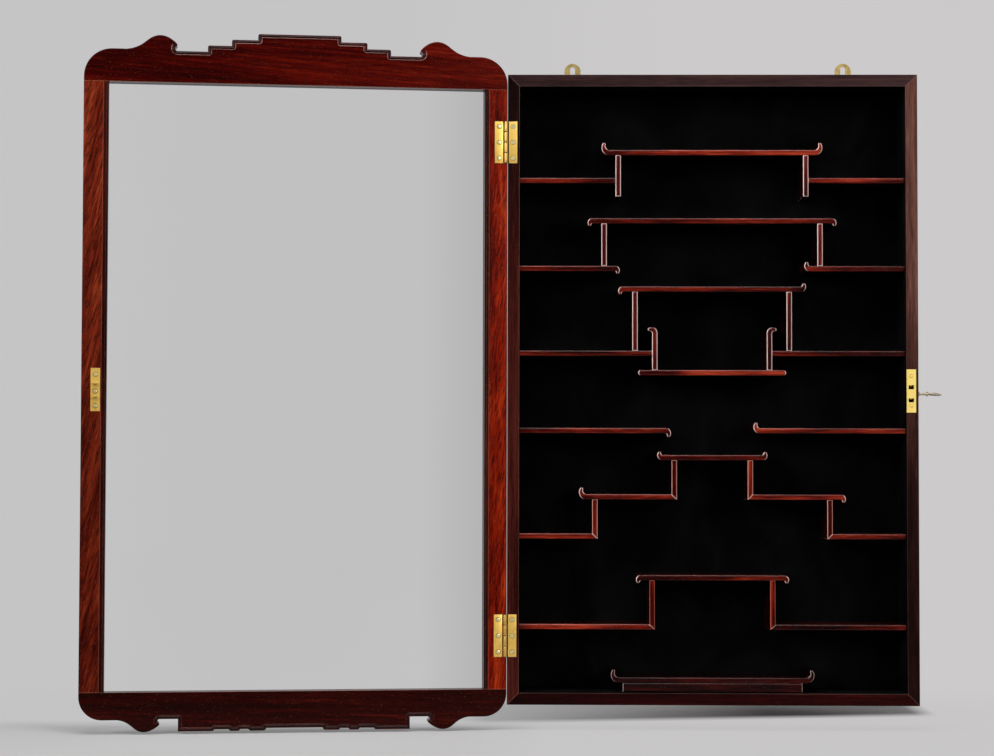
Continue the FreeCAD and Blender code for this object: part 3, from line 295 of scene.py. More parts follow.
@dataclass(frozen=True)
class WoodFinish:
    """A polished wood with streaks, fibres, pores, diagonal ticks, pale flecks, and arrises that are partly
    worn and partly painted highlight.
    """

    name: str
    grain: Grain
    tones: Tones
    worn_and_highlight: Colour
    run: float = 110.0
    streak: float = 0.6
    tone: float = 0.6
    fibre: float = 0.8
    pore: float = 0.65
    fleck: float = 0.25
    tick: float = 0.0
    slant: float = 0.0
    arris_reach: float = 1.4 * MM
    arris_share: float = 0.5
    arris_highlight_upward: float = 0.0
    roughness: float = 0.2
    specular: float = 0.16
    painted_side_shade: float = 0.0
    painted_glint: float = 0.0
    tone_and_light_slope: Slope = Slope()
    shade_band: Slope = Slope()

    def centre(self) -> Vector:
        """Point that the grain's turn goes round."""
        return HINGE_AXIS if self.grain in (Grain.DOOR_LEVEL, Grain.DOOR_UPRIGHT) else Vector()

    def figure(self, recipe: Recipe, along: float, across: float, lean: float = 0.0, **traits: Any) -> Signal:
        """Adds a noise drawn out along the fibres.

        Args:
            recipe: The material in the making.
            along: Its length along the fibres, in millimetres.
            across: Its length across them, in millimetres.
            lean: How far it leans from the fibres, in degrees.
            **traits: The noise's layers and wander.

        Returns:
            The noise, around 0.5.
        """
        around, about, facing = self.grain.value
        turn = (around, about + math.radians(self.slant + lean), facing)
        lengths = (along * MM, across * MM, across * MM)
        return recipe.noise(recipe.place(lengths, turn, self.centre()), **traits)

    def across_board(self, recipe: Recipe, slope: Slope) -> Signal:
        """Adds how far a point lies along a slope, from 0 to 1."""
        return recipe.along(self.grain.value, self.centre(), slope.axis).above(slope.start, slope.end)

    def make(self) -> Material:
        """Builds the material.

        Returns:
            The material.
        """
        recipe = Recipe(bpy.data.materials.new(self.name))
        dark = self.tones[0]
        broad = self.figure(recipe, along=2.2 * self.run, across=20.0, layers=3.0, wander=0.4)
        streaks = self.figure(recipe, along=self.run, across=4.2, layers=5.0, wander=0.5)
        fibres = self.figure(recipe, along=22.0, across=1.1, layers=3.0, wander=0.3)
        pores = self.figure(recipe, along=5.0, across=0.55, layers=2.0, wander=0.2).above(0.60, 0.74)
        flecks = self.figure(recipe, along=2.4, across=1.0, layers=1.0).above(0.66, 0.80)
        heat = 0.5 + (broad - 0.5) * (2.2 * self.tone) + (streaks - 0.5) * (2.0 * self.streak)
        heat = heat + (fibres - 0.5) * self.fibre
        # Slope of lighter and darker tone along or across the board: partly the wood's own colour, partly
        # painted light.
        if self.tone_and_light_slope.gain:
            heat = heat + (self.across_board(recipe, self.tone_and_light_slope) - 0.5) * self.tone_and_light_slope.gain
        colour = recipe.add("ShaderNodeValToRGB", {0: heat.held()}, stops=self.tones).outputs[0]
        colour = recipe.blend(pores * self.pore, colour, dark)
        if self.tick:
            ticks = self.figure(recipe, along=16.0, across=1.9, layers=2.0, wander=0.2, lean=-9.0)
            colour = recipe.blend(ticks.above(0.50, 0.66) * self.tick, colour, dark)
        colour = recipe.blend(flecks * self.fleck, colour, self.worn_and_highlight)
        # Pale arrises: partly worn edges and partly a painted highlight, kept more on edges that look up.
        rim = recipe.arris(self.arris_reach, self.arris_highlight_upward)
        rim = rim * (0.25 + streaks * 0.6 + broad.above(0.4, 0.62) * 0.5)
        # Painted shade: faces that don't look forward are darkened, and their pale arrises are taken away.
        if self.painted_side_shade:
            forward = recipe.facing(1)
            colour = recipe.blend(forward.above(-0.85, -0.4) * self.painted_side_shade, colour, dark)
            # Painted glint: rounded edges that look sideways and forward take the pale colour.
            painted_glint = abs(recipe.facing(0)).above(0.25, 0.5) * forward.above(-0.2, -0.45)
            colour = recipe.blend(painted_glint * self.painted_glint, colour, self.worn_and_highlight)
            rim = rim * (1.0 - forward.above(-0.4, -0.1) * self.painted_side_shade)
        # Painted shade: a dark strip along the stile's edge by the glass.
        if self.shade_band.gain:
            colour = recipe.blend(self.across_board(recipe, self.shade_band) * self.shade_band.gain, colour, dark)
        feeds = {
            "Base Color": recipe.blend((rim * self.arris_share).held(), colour, self.worn_and_highlight),
            "Roughness": (self.roughness + (fibres - 0.5) * 0.08 + pores * 0.2 - rim * 0.04).held(),
            "Specular IOR Level": self.specular,
        }
        return recipe.surface(feeds, fibres * 0.5 - pores * 0.8, lift=0.05 * MM)


@dataclass(frozen=True)
class VelvetFinish:
    """Black pile with a faint nap that lies unevenly."""

    name: str
    black: Colour = (0.0022, 0.0022, 0.0024, 1.0)
    brushed: Colour = (0.0075, 0.0075, 0.0075, 1.0)

    def make(self) -> Material:
        """Builds the material.

        Returns:
            The material.
        """
        recipe = Recipe(bpy.data.materials.new(self.name))
        nap = recipe.cloud(level=70.0, upright=90.0, layers=3.0, wander=0.6)
        pile = recipe.cloud(level=0.5, upright=0.7, layers=2.0)
        tufts = recipe.cloud(level=2.6, upright=4.0, layers=2.0)
        share = (nap.above(0.35, 0.7) * 0.7 + pile * 0.35 + tufts * 0.25 - 0.3).held()
        feeds = {
            "Base Color": recipe.blend(share, self.black, self.brushed),
            "Roughness": (0.8 + pile * 0.2).held(),
            "Specular IOR Level": 0.0,
        }
        return recipe.surface(feeds, pile + tufts * 0.5, lift=0.3 * MM)


@dataclass(frozen=True)
class MetalFinish:
    """A handled metal with brushing, dull patches and bright arrises, and, where a depth is set, painted
    shade on the parts that lie deeper.
    """

    name: str
    bright: Colour
    dull: Colour
    roughness: float
    tarnish: float
    metallic: float = 1.0
    pitted: float = 1.0
    shaded_beyond: float | None = None

    def make(self) -> Material:
        """Builds the material.

        Returns:
            The material.
        """
        recipe = Recipe(bpy.data.materials.new(self.name))
        clouds = recipe.cloud(level=9.0, upright=14.0, layers=4.0, wander=0.5)
        strokes = recipe.cloud(level=0.25, upright=6.0, layers=2.0)
        pits = recipe.cloud(level=0.8, upright=0.8, layers=1.0).above(0.66, 0.8)
        rim = recipe.arris(0.5 * MM)
        share = (clouds.above(0.42, 0.75) * self.tarnish + pits * (0.35 * self.pitted) - rim * 0.5).held()
        # Painted shade: parts that lie deeper than this take the dark colour.
        if self.shaded_beyond is not None:
            deep = recipe.along(ZERO, ZERO, 1).above(self.shaded_beyond, self.shaded_beyond + MM)
            share = (share + deep).held()
        feeds = {
            "Base Color": recipe.blend(share, self.bright, self.dull),
            "Metallic": self.metallic,
            "Roughness": (self.roughness + (strokes - 0.5) * 0.2 + share * 0.25 - rim * 0.1).held(),
        }
        return recipe.surface(feeds, strokes - pits, lift=0.02 * MM * self.pitted)


@dataclass(frozen=True)
class GlassFinish:
    """A clear pane with painted shade: it takes a little of the light behind it, most towards the hinge side
    and least by the lock side, with faint smears.
    """

    name: str
    clear: Colour = (0.999, 1.0, 1.0, 1.0)
    shaded: Colour = (0.9, 0.9, 0.9, 1.0)
    hinge_side: Reach = (0.1, 0.03)
    lock_side: Reach = (0.46, 0.34)
    polish: float = 0.02
    index: float = 1.45

    def make(self) -> Material:
        """Builds the material.

        Returns:
            The material.
        """
        recipe = Recipe(bpy.data.materials.new(self.name))
        lengths, turn = (60.0 * MM, 60.0 * MM, 140.0 * MM), (0.0, 0.0, 0.5)
        smears = recipe.noise(recipe.place(lengths, turn), layers=4.0, wander=0.8)
        clear = recipe.add("ShaderNodeBsdfTransparent", {"Color": self.clear})
        shaded = recipe.add("ShaderNodeBsdfTransparent", {"Color": self.shaded})
        # Painted shade: the view through the pane darkens towards the hinge side and is clearest by the lock
        # side.
        reach = recipe.along(Grain.DOOR_LEVEL.value, HINGE_AXIS, 0)
        shade_and_smears = reach.above(*self.hinge_side) * 0.75 + reach.above(*self.lock_side) * 0.12 + smears * 0.04
        shine = recipe.add("ShaderNodeBsdfGlossy", {"Color": WHITE, "Roughness": self.polish})
        rim = Signal(recipe, recipe.add("ShaderNodeFresnel", {"IOR": self.index}).outputs[0])
        share = (rim * (0.3 + smears * 0.2)).held()
        return recipe.finish(recipe.mix(share, recipe.mix(shade_and_smears.held(), clear, shaded), shine))


@dataclass(frozen=True)
class GroundFinish:
    """Pale paper sweep: it takes shadows near the cabinet and shows an even grey behind it.

    A share says how much of the even grey shows, and a reach where a change starts and ends, in metres.
    """

    name: str
    tone: Colour = tint(189, 188, 188)
    left: Colour = tint(198, 197, 198)
    right: Colour = tint(204, 202, 203)
    ahead_tone: Colour = (0.06, 0.06, 0.06, 1.0)
    door_share: float = 0.32
    case_share: float = 0.86
    back_share: float = 0.94
    shadow_share: float = 0.96
    shadow_lean: float = 0.2
    case_side: float = 0.27
    ahead: Reach = (-0.42, -0.55)
    sideways: Reach = (-0.8, 0.4)
    door_to_case: Reach = (-0.3, -0.2)
    front_to_back: Reach = (-0.06, 0.02)
    far: Reach = (0.2, 0.5)
    shadow_front: Reach = (-0.005, 0.045)
    shadow_back: Reach = (0.24, 0.44)
    shadow_deepens: Reach = (-0.6, 0.1)
    shadow_left: Reach = (-0.32, -0.27)
    shadow_right: Reach = (0.27, 0.3)

    def make(self) -> Material:
        """Builds the material.

        Returns:
            The material.
        """
        recipe = Recipe(bpy.data.materials.new(self.name))
        source = recipe.add("ShaderNodeTexCoord").outputs["Object"]
        across, depth = recipe.part(source, 0), recipe.part(source, 1)
        ahead = depth.above(*self.ahead)
        darker = tuple(0.97 * part for part in self.tone[:3]) + (1.0,)
        sheet = recipe.blend(recipe.cloud(level=1500.0, upright=1500.0, layers=1.0), darker, self.tone)
        sheet = recipe.blend(ahead, sheet, self.ahead_tone)
        feeds = {"Base Color": sheet, "Roughness": 0.9, "Specular IOR Level": 0.0}
        paper = recipe.add("ShaderNodeBsdfPrincipled", feeds)
        grey = recipe.blend(across.above(*self.sideways), self.left, self.right)
        glow = recipe.add("ShaderNodeEmission", {"Color": grey, "Strength": 1.0})
        rays = recipe.add("ShaderNodeLightPath").outputs
        ways = ("Camera", "Transmission", "Glossy")
        looked_at, through, mirrored = (Signal(recipe, rays[f"Is {way} Ray"]) for way in ways)
        seen = (looked_at + through + mirrored * (1.0 - ahead)).held()
        behind = depth - (across + self.case_side) * self.shadow_lean
        shade_band = behind.above(*self.shadow_front) * (1.0 - behind.above(*self.shadow_back))
        shade_band = shade_band * across.above(*self.shadow_deepens)
        shade_band = shade_band * across.above(*self.shadow_left) * (1.0 - across.above(*self.shadow_right))
        front = self.door_share + across.above(*self.door_to_case) * (self.case_share - self.door_share)
        plain = front + depth.above(*self.front_to_back) * (self.back_share - front)
        plain = plain + depth.above(*self.far) * (1.0 - self.back_share) + ahead
        share = seen * (plain - shade_band * self.shadow_share).held()
        return recipe.finish(recipe.mix(share, paper, glow))


def deselect() -> None:
    """Leaves object mode with nothing selected."""
    if bpy.context.object and bpy.context.object.mode != "OBJECT":
        bpy.ops.object.mode_set(mode="OBJECT")
    bpy.ops.object.select_all(action="DESELECT")


def take_up(piece: Piece) -> None:
    """Makes a piece the only one selected, and the active one.

    Args:
        piece: The piece.
    """
    deselect()
    piece.select_set(True)
    bpy.context.view_layer.objects.active = piece


@contextmanager
def editing(action: str = "") -> Iterator[None]:
    """Opens the active piece's mesh for the lines inside.

    Args:
        action: Whether all of it is first set to SELECT or DESELECT.
    """
    bpy.ops.object.mode_set(mode="EDIT")
    if action:
        bpy.ops.mesh.select_all(action=action)
    yield
    bpy.ops.object.mode_set(mode="OBJECT")


def settle(piece: Piece) -> None:
    """Puts a piece's place into its mesh, so that its object sits at the origin."""
    take_up(piece)
    bpy.ops.object.transform_apply(location=True, rotation=True, scale=True)


def smooth(degrees: float) -> None:
    """Smooths the active piece where its faces meet at less than this angle."""
    bpy.ops.object.shade_smooth_by_angle(angle=math.radians(degrees))


def apply_all(piece: Piece) -> None:
    """Applies every modifier of a piece, in order.

    Args:
        piece: The piece.
    """
    take_up(piece)
    for modifier in list(piece.modifiers):
        bpy.ops.object.modifier_apply(modifier=modifier.name)


def block(name: str, low: Point, high: Point, swing: Matrix | None = None) -> Piece:
    """Models a block between two corners.

    Args:
        name: The piece's name.
        low: Its lowest corner.
        high: Its highest corner.
        swing: How the closed door's piece is turned to where it rests.

    Returns:
        The block, its place in its mesh.
    """
    deselect()
    low, high = Vector(low), Vector(high)
    bpy.ops.mesh.primitive_cube_add(size=1.0, location=(low + high) / 2)
    piece = bpy.context.object
    piece.name = piece.data.name = name
    piece.scale = high - low
    if swing:
        settle(piece)
        piece.matrix_world = swing
    settle(piece)
    return piece


def ease(piece: Piece, width: float, segments: int = 3) -> None:
    """Rounds a piece's sharp edges.

    Args:
        piece: The piece.
        width: The rounding's width.
        segments: Its number of steps.
    """
    rounding = piece.modifiers.new("eased_edges", "BEVEL")
    rounding.width = width
    rounding.segments = segments
    rounding.limit_method = "ANGLE"
    rounding.angle_limit = math.radians(40.0)
    apply_all(piece)
    smooth(35.0)


def join(pieces: Sequence[Piece], name: str) -> Piece:
    """Makes one piece of several.

    Args:
        pieces: The pieces.
        name: The name of what they become.

    Returns:
        The joined piece.
    """
    take_up(pieces[0])
    for piece in pieces:
        piece.select_set(True)
    bpy.ops.object.join()
    whole = bpy.context.object
    whole.name = whole.data.name = name
    return whole


def copy_of(piece: Piece) -> Piece:
    """Copies a piece, mesh and all, without the marks of a carried-over one.

    Args:
        piece: The piece.

    Returns:
        The copy.
    """
    twin = piece.copy()
    twin.data = piece.data.copy()
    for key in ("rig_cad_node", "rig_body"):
        if key in twin:
            del twin[key]
    bpy.context.scene.collection.objects.link(twin)
    return twin


def drop(piece: Piece) -> None:
    """Takes a helper piece away."""
    take_up(piece)
    bpy.ops.object.delete()


def finish_piece(piece: Piece, body: str, finish: Material, stands_for: str = "") -> None:
    """Gives a modelled piece its finish and the body that it rides on.

    Args:
        piece: The piece.
        body: The body's name.
        finish: The piece's material.
        stands_for: The solid that it replaces, if any.
    """
    piece.data.materials.clear()
    piece.data.materials.append(finish)
    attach(piece, body)
    if stands_for:
        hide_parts(stands_for)
    log.info("%s is modelled, %d faces", piece.name, len(piece.data.polygons))


def nodes_of(slot: str) -> list[str]:
    """Names of the solids in one of the record's material slots."""
    return [part["node"] for part in frame["record"]["subparts"] if part["material_slot"] == slot]


def dress(nodes: Iterable[str], finish: Material) -> None:
    """Gives carried-over pieces a finish.

    Args:
        nodes: The pieces' names.
        finish: Their material.
    """
    for name in nodes:
        slots = frame["nodes"][name].data.materials
        slots.clear()
        slots.append(finish)
        log.info("%s wears %s", name, finish.name)


@dataclass
class CaseBoards:
    """The mitred case and its back board."""

    # Each board has its own tones: the haze on the top and the right side is a painted sheen, and the darker
    # left side and bottom are painted shade.
    top_sheen_tones: Tones = shades((24, 14, 14), (42, 27, 27), (62, 40, 39), (90, 62, 60))
    left_shade_tones: Tones = shades((10, 3, 3), (22, 7, 6), (46, 13, 9), (74, 28, 22))
    right_sheen_tones: Tones = shades((22, 7, 5), (42, 18, 14), (80, 46, 38), (116, 76, 66))
    bottom_shade_tones: Tones = shades((10, 1, 1), (24, 2, 2), (40, 4, 3), (64, 11, 8))
    back_tones: Tones = shades((90, 66, 48), (124, 94, 68), (150, 118, 88))
    # Pale arris colour: partly wear, partly a painted highlight on the arrises.
    worn_and_highlight: Colour = tint(150, 116, 108)
    back_worn: Colour = tint(170, 142, 112)

    def build(self) -> None:
        """Gives each board wood that runs its own way, with painted light in its tones and its slope."""
        plain = {
            "worn_and_highlight": self.worn_and_highlight,
            "streak": 0.45,
            "tone": 0.35,
            "fleck": 0.12,
            "roughness": 0.28,
            "specular": 0.06,
            "arris_reach": 1.0 * MM,
            "arris_share": 0.7,
        }
        rough = {"worn_and_highlight": self.back_worn, "fleck": 0.1, "roughness": 0.65}
        boards = (
            ("case_top_board", Grain.LEVEL, self.top_sheen_tones, Slope(0, -0.24, 0.24, 0.12), plain),
            ("case_bottom_board", Grain.LEVEL, self.bottom_shade_tones, Slope(0, -0.24, 0.24, 0.25), plain),
            ("case_left_side", Grain.UPRIGHT, self.left_shade_tones, Slope(0, 0.36, 0.1, 0.7), plain),
            ("case_right_side", Grain.UPRIGHT, self.right_sheen_tones, Slope(0, -0.2, 0.1, 0.6), plain),
            ("back_board", Grain.UPRIGHT, self.back_tones, Slope(), rough),
        )
        for node, grain, tones, tone_and_light_slope, traits in boards:
            dress((node,), WoodFinish(f"{node}_wood", grain, tones, tone_and_light_slope=tone_and_light_slope, **traits).make())


@dataclass
class ShelfRows:
    """The stepped shelves with curled ends, their posts and the base plinth."""

    tones: Tones = shades((18, 2, 2), (56, 7, 4), (112, 26, 12), (166, 58, 34))
    post_tones: Tones = shades((14, 2, 2), (42, 5, 4), (80, 14, 9), (126, 36, 24))
    base_tones: Tones = shades((12, 1, 1), (30, 4, 3), (56, 9, 6), (94, 26, 16))
    # Pale arris colours: painted highlights with some wear, dimmer and redder on the posts lower down.
    worn_and_highlight: Colour = tint(246, 214, 208)
    middle_worn_and_highlight: Colour = tint(232, 166, 150)
    lower_worn_and_highlight: Colour = tint(204, 112, 92)
    rim: float = 1.7 * MM

    def build(self) -> None:
        """Gives level boards and upright posts their lacquer; the pale rims are painted highlights with some
        wear, dimmer and redder on the lower posts as painted light.
        """
        gloss = {"run": 70.0, "tone": 0.9, "fleck": 0.1, "roughness": 0.15, "painted_side_shade": 0.85}
        gloss["arris_reach"] = self.rim
        names, base = nodes_of("shelf_wood"), ["base_shelf", "base_plinth"]
        posts = [name for name in names if "posts" in name]
        upper = [name for name in posts if not name.endswith(("_five", "_six", "_seven"))]
        boards = [name for name in names if name not in posts + base]
        middle, lower = ("bridge_posts_five", "step_posts_six"), ("bridge_posts_seven",)
        rows = (
            ("shelf_lacquer_level", boards, Grain.LEVEL, self.tones, self.worn_and_highlight, 1.6, 1.0),
            ("shelf_lacquer_upright", upper, Grain.UPRIGHT, self.post_tones, self.worn_and_highlight, 2.6, 1.0),
            ("shelf_lacquer_middle_posts", middle, Grain.UPRIGHT, self.tones, self.middle_worn_and_highlight, 1.3, 0.8),
            ("shelf_lacquer_lower_posts", lower, Grain.UPRIGHT, self.tones, self.lower_worn_and_highlight, 0.9, 0.5),
            ("base_lacquer", base, Grain.LEVEL, self.base_tones, self.worn_and_highlight, 0.5, 0.4),
        )
        for name, nodes, grain, tones, worn_and_highlight, share, painted_glint in rows:
            edges = {"arris_highlight_upward": float(grain is Grain.LEVEL), "arris_share": share, "painted_glint": painted_glint}
            dress(nodes, WoodFinish(name, grain, tones, worn_and_highlight, **edges, **gloss).make())


@dataclass
class Linings:
    """Velvet stretched over the back board and round the walls."""

    half_width: float = 230.0 * MM
    half_height: float = 361.0 * MM
    front: float = -76.0 * MM
    back: float = -6.0 * MM
    cloth: float = 0.7 * MM
    unevenness: float = 0.06 * MM
    cell: float = 12.0 * MM

    def sheet(self, name: str, low: Point, high: Point, board: str) -> Piece:
        """Models one stretched sheet of velvet.

        Args:
            name: The sheet's name.
            low: Its lowest corner.
            high: Its highest corner.
            board: The board that it is glued to; not used.

        Returns:
            The sheet.
        """
        piece = block(name, low, high)
        spans = sorted(Vector(high) - Vector(low))
        with editing("SELECT"):
            bpy.ops.mesh.bevel(offset=self.cloth / 4, segments=2)
            bpy.ops.mesh.select_all(action="DESELECT")
        thin = min(range(3), key=lambda axis: high[axis] - low[axis])
        for face in piece.data.polygons:
            face.select = abs(face.normal[thin]) > 0.99
        with editing():
            bpy.ops.mesh.subdivide(number_cuts=int(spans[1] / self.cell))
            bpy.ops.transform.vertex_random(offset=self.unevenness, seed=len(name))
        smooth(50.0)
        return piece

    def build(self) -> None:
        """Lays the back's sheet and one on each wall."""
        velvet = VelvetFinish("black_velvet").make()
        wide, tall, thick = self.half_width, self.half_height, self.cloth
        rear = self.back - thick
        sheets = (
            ("back", (-wide, rear, -tall), (wide, self.back, tall), "back_board"),
            ("left", (-wide, self.front, -tall), (thick - wide, rear, tall), "case_left_side"),
            ("right", (wide - thick, self.front, -tall), (wide, rear, tall), "case_right_side"),
            ("top", (-wide, self.front, tall - thick), (wide, rear, tall), "case_top_board"),
            ("bottom", (-wide, self.front, -tall), (wide, rear, thick - tall), "case_bottom_board"),
        )
        for side, low, high, board in sheets:
            piece = self.sheet(f"velvet_{side}_sheet", low, high, board)
            lining = "velvet_back_lining" if side == "back" else "velvet_wall_lining"
            finish_piece(piece, "case", velvet, lining)


@dataclass
class CarvedEdge:
    """The bead carved along a scrolled rail, from one scroll's tip to the other's, with a line inside it."""

    rail: str
    upward: bool
    bead_inset: float = 1.3 * MM
    bead_radius: float = 1.5 * MM
    bead_sink: float = 1.05 * MM
    line_inset: float = 3.2 * MM
    line_radius: float = 0.38 * MM
    line_sink: float = 0.1 * MM
    spacing: float = 0.6 * MM
    slack: float = 0.02 * MM
    corner_steps: int = 7
    scroll_reach: float = 0.12

    def outline(self, normal: Vector) -> list[Vector]:
        """Reads the outline of one face of the rail.

        Args:
            normal: Which way the face looks.

        Returns:
            The outline's corners in order.
        """
        twin = copy_of(frame["nodes"][self.rail])
        take_up(twin)
        with editing("SELECT"):
            bpy.ops.mesh.remove_doubles(threshold=0.01 * MM)
            bpy.ops.mesh.dissolve_limited(angle_limit=math.radians(0.5))
        facing = [face for face in twin.data.polygons if face.normal.dot(normal) > 0.999]
        face = max(facing, key=lambda candidate: candidate.area)
        corners = [twin.matrix_world @ twin.data.vertices[index].co for index in face.vertices]
        drop(twin)
        return corners

    def between_tips(self, loop: np.ndarray) -> tuple[int, int]:
        """Finds the two scrolls' tips.

        Args:
            loop: The outline.

        Returns:
            The tips' indexes, in the order in which the outline passes the notch between them.
        """
        level = loop[:, 1] if self.upward else -loop[:, 1]
        tips = []
        for side in (-1, 1):
            reach = loop[:, 0] * side
            step = side if self.upward else -side
            tip = int(np.argmax(np.where(reach > self.scroll_reach, level, -1.0)))
            while reach[(tip + step) % len(loop)] < reach[tip]:
                tip = (tip + step) % len(loop)
            tips.append(tip)
        return (tips[1], tips[0]) if self.upward else (tips[0], tips[1])

    def inset_path(self, loop: np.ndarray, inset: float) -> np.ndarray:
        """Follows the notch at a distance inside the outline.

        Args:
            loop: The outline, anticlockwise.
            inset: The distance.

        Returns:
            The path's points.
        """
        first, last = self.between_tips(loop)
        ways = np.roll(loop, -1, axis=0) - loop
        lengths = np.linalg.norm(ways, axis=1)
        ways = ways / lengths[:, None]
        inward = np.stack((-ways[:, 1], ways[:, 0]), axis=1)
        points = []
        for index in [(first + step) % len(loop) for step in range((last - first) % len(loop))]:
            for share in np.linspace(0.0, 1.0, self.corner_steps):
                lean = inward[index - 1] * (1 - share) + inward[index] * share
                points.append(loop[index] + inset * lean / np.linalg.norm(lean))
            for length in np.arange(self.spacing, lengths[index], self.spacing):
                points.append(loop[index] + ways[index] * length + inset * inward[index])
        points = np.array(points)
        offsets = points[:, None, :] - loop[None, :, :]
        run = np.clip((offsets * ways).sum(axis=2), 0.0, lengths)
        gaps = np.linalg.norm(offsets - ways * run[..., None], axis=2).min(axis=1)
        return points[gaps > inset - self.slack]

    def tube(self, name: str, points: Sequence[Vector], radius: float) -> Piece:
        """Models a round strip along a path.

        Args:
            name: The strip's name.
            points: The path.
            radius: The strip's radius.

        Returns:
            The strip as a mesh.
        """
        deselect()
        curve = bpy.data.curves.new(name, "CURVE")
        curve.dimensions = "3D"
        spline = curve.splines.new("POLY")
        spline.points.add(len(points) - 1)
        for target, point in zip(spline.points, points):
            target.co = (*point, 1.0)
        curve.bevel_depth = radius
        curve.bevel_resolution = 2
        curve.use_fill_caps = True
        strip = bpy.data.objects.new(name, curve)
        bpy.context.scene.collection.objects.link(strip)
        take_up(strip)
        bpy.ops.object.convert(target="MESH")
        strip = bpy.context.object
        strip.name = strip.data.name = name
        smooth(60.0)
        return strip

    def build(self, bead: Material, line: Material) -> None:
        """Carves the bead and the line on both faces of the rail.

        Args:
            bead: The bead's finish.
            line: The line's finish.
        """
        along = DOOR_TURN @ Vector((1, 0, 0))
        strips = (
            ("bead", self.bead_inset, self.bead_radius, self.bead_sink, bead),
            ("line", self.line_inset, self.line_radius, self.line_sink, line),
        )
        for side, way in (("inner", 1), ("outer", -1)):
            normal = DOOR_TURN @ Vector((0, way, 0))
            corners = self.outline(normal)
            depth = (corners[0] - HINGE_AXIS).dot(normal)
            loop = np.array([((corner - HINGE_AXIS).dot(along), corner.z) for corner in corners])
            middle = (loop[:, 0].min() + loop[:, 0].max()) / 2
            loop[:, 0] -= middle
            nexts = np.roll(loop, -1, axis=0)
            area = (loop[:, 0] * nexts[:, 1] - nexts[:, 0] * loop[:, 1]).sum()
            loop = loop if area > 0 else loop[::-1]
            for kind, inset, radius, sink, finish in strips:
                base = HINGE_AXIS + normal * (depth - sink)
                flat = self.inset_path(loop, inset)
                path = [base + along * (middle + x) + Vector((0, 0, z)) for x, z in flat]
                strip = self.tube(f"{self.rail}_{side}_{kind}", path, radius)
                finish_piece(strip, "door", finish)


@dataclass
class GlazedDoor:
    """Stiles, scrolled rails, glazing beads and the pane."""

    # Tones with some painted light: the hinge stile's are lighter partly as a painted reflection, the apron's
    # and the glazing beads' darker partly as painted shade.
    crest_tones: Tones = shades((22, 1, 1), (50, 2, 1), (82, 10, 3), (120, 29, 12))
    apron_tones: Tones = shades((10, 1, 1), (26, 2, 1), (44, 4, 2), (92, 18, 8))
    hinge_tones: Tones = shades((30, 3, 2), (92, 12, 3), (136, 29, 7), (180, 62, 22))
    lock_tones: Tones = shades((24, 4, 3), (68, 14, 7), (106, 32, 15), (146, 58, 32))
    bead_tones: Tones = shades((14, 3, 4), (34, 8, 8), (52, 14, 13), (82, 28, 24))
    # The carved bead's dark tones are painted shade; the crest's pale line is a painted highlight.
    bead_shade_tones: Tones = shades((8, 1, 1), (18, 2, 2), (30, 5, 4), (52, 12, 9))
    line_highlight_tones: Tones = shades((44, 12, 9), (78, 30, 25), (124, 74, 66), (180, 128, 118))
    faint_tones: Tones = shades((24, 4, 3), (40, 8, 6), (60, 16, 11), (90, 32, 22))
    worn_and_highlight: Colour = tint(186, 112, 84)
    line_highlight_pale: Colour = tint(225, 180, 170)
    # Painted shade: a dark strip along each stile's edge by the glass.
    hinge_edge_shade: Slope = Slope(2, -19.6 * MM, -20.6 * MM, 0.8)
    lock_edge_shade: Slope = Slope(2, -475.5 * MM, -474.5 * MM, 0.8)

    def build(self) -> None:
        """Gives the frame its rosewood, carves the rails' beads, their dark colour painted shade and the
        crest's pale line a painted highlight, and gives the pane its glass.
        """
        rail = {"run": 150.0, "streak": 0.5, "tone": 0.4, "fleck": 0.15}
        # The slopes along the rails and across the stiles are partly the wood's colour, partly painted light.
        crest = {**rail, "tone_and_light_slope": Slope(0, 0.4, -0.1, 0.4), "slant": -4.0}
        apron = {**rail, "tone_and_light_slope": Slope(0, 0.5, 0.1, 0.15), "slant": -2.0}
        stile = {"run": 60.0, "streak": 0.5, "tone": 0.55, "tick": 0.7}
        hinge = {**stile, "tone_and_light_slope": Slope(2, -0.02, 0.0, 0.2), "slant": -3.0, "shade_band": self.hinge_edge_shade}
        lock = {**stile, "tone_and_light_slope": Slope(0, -0.35, 0.1, 0.2), "slant": -12.0, "shade_band": self.lock_edge_shade}
        parts = (
            ("door_crest_rail", Grain.DOOR_LEVEL, self.crest_tones, crest),
            ("door_apron_rail", Grain.DOOR_LEVEL, self.apron_tones, apron),
            ("door_hinge_stile", Grain.DOOR_UPRIGHT, self.hinge_tones, hinge),
            ("door_lock_stile", Grain.DOOR_UPRIGHT, self.lock_tones, lock),
            ("glazing_beads", Grain.DOOR_UPRIGHT, self.bead_tones, {"streak": 0.4}),
        )
        for node, grain, tones, traits in parts:
            finish = WoodFinish(f"{node}_rosewood", grain, tones, self.worn_and_highlight, specular=0.07, **traits)
            dress((node,), finish.make())
        dress(("door_glass",), GlassFinish("pane_glass").make())
        carvings = (
            ("bead", self.bead_shade_tones, self.worn_and_highlight, {"arris_share": 0.1, "roughness": 0.22}),
            ("line", self.line_highlight_tones, self.line_highlight_pale, {"roughness": 0.3}),
            ("faint_line", self.faint_tones, self.worn_and_highlight, {"arris_share": 0.1}),
        )
        bead, line, faint = (
            WoodFinish(f"carved_{kind}_rosewood", Grain.DOOR_LEVEL, tones, worn_and_highlight, **traits).make()
            for kind, tones, worn_and_highlight, traits in carvings
        )
        CarvedEdge("door_crest_rail", True).build(bead, line)
        CarvedEdge("door_apron_rail", False).build(bead, faint)


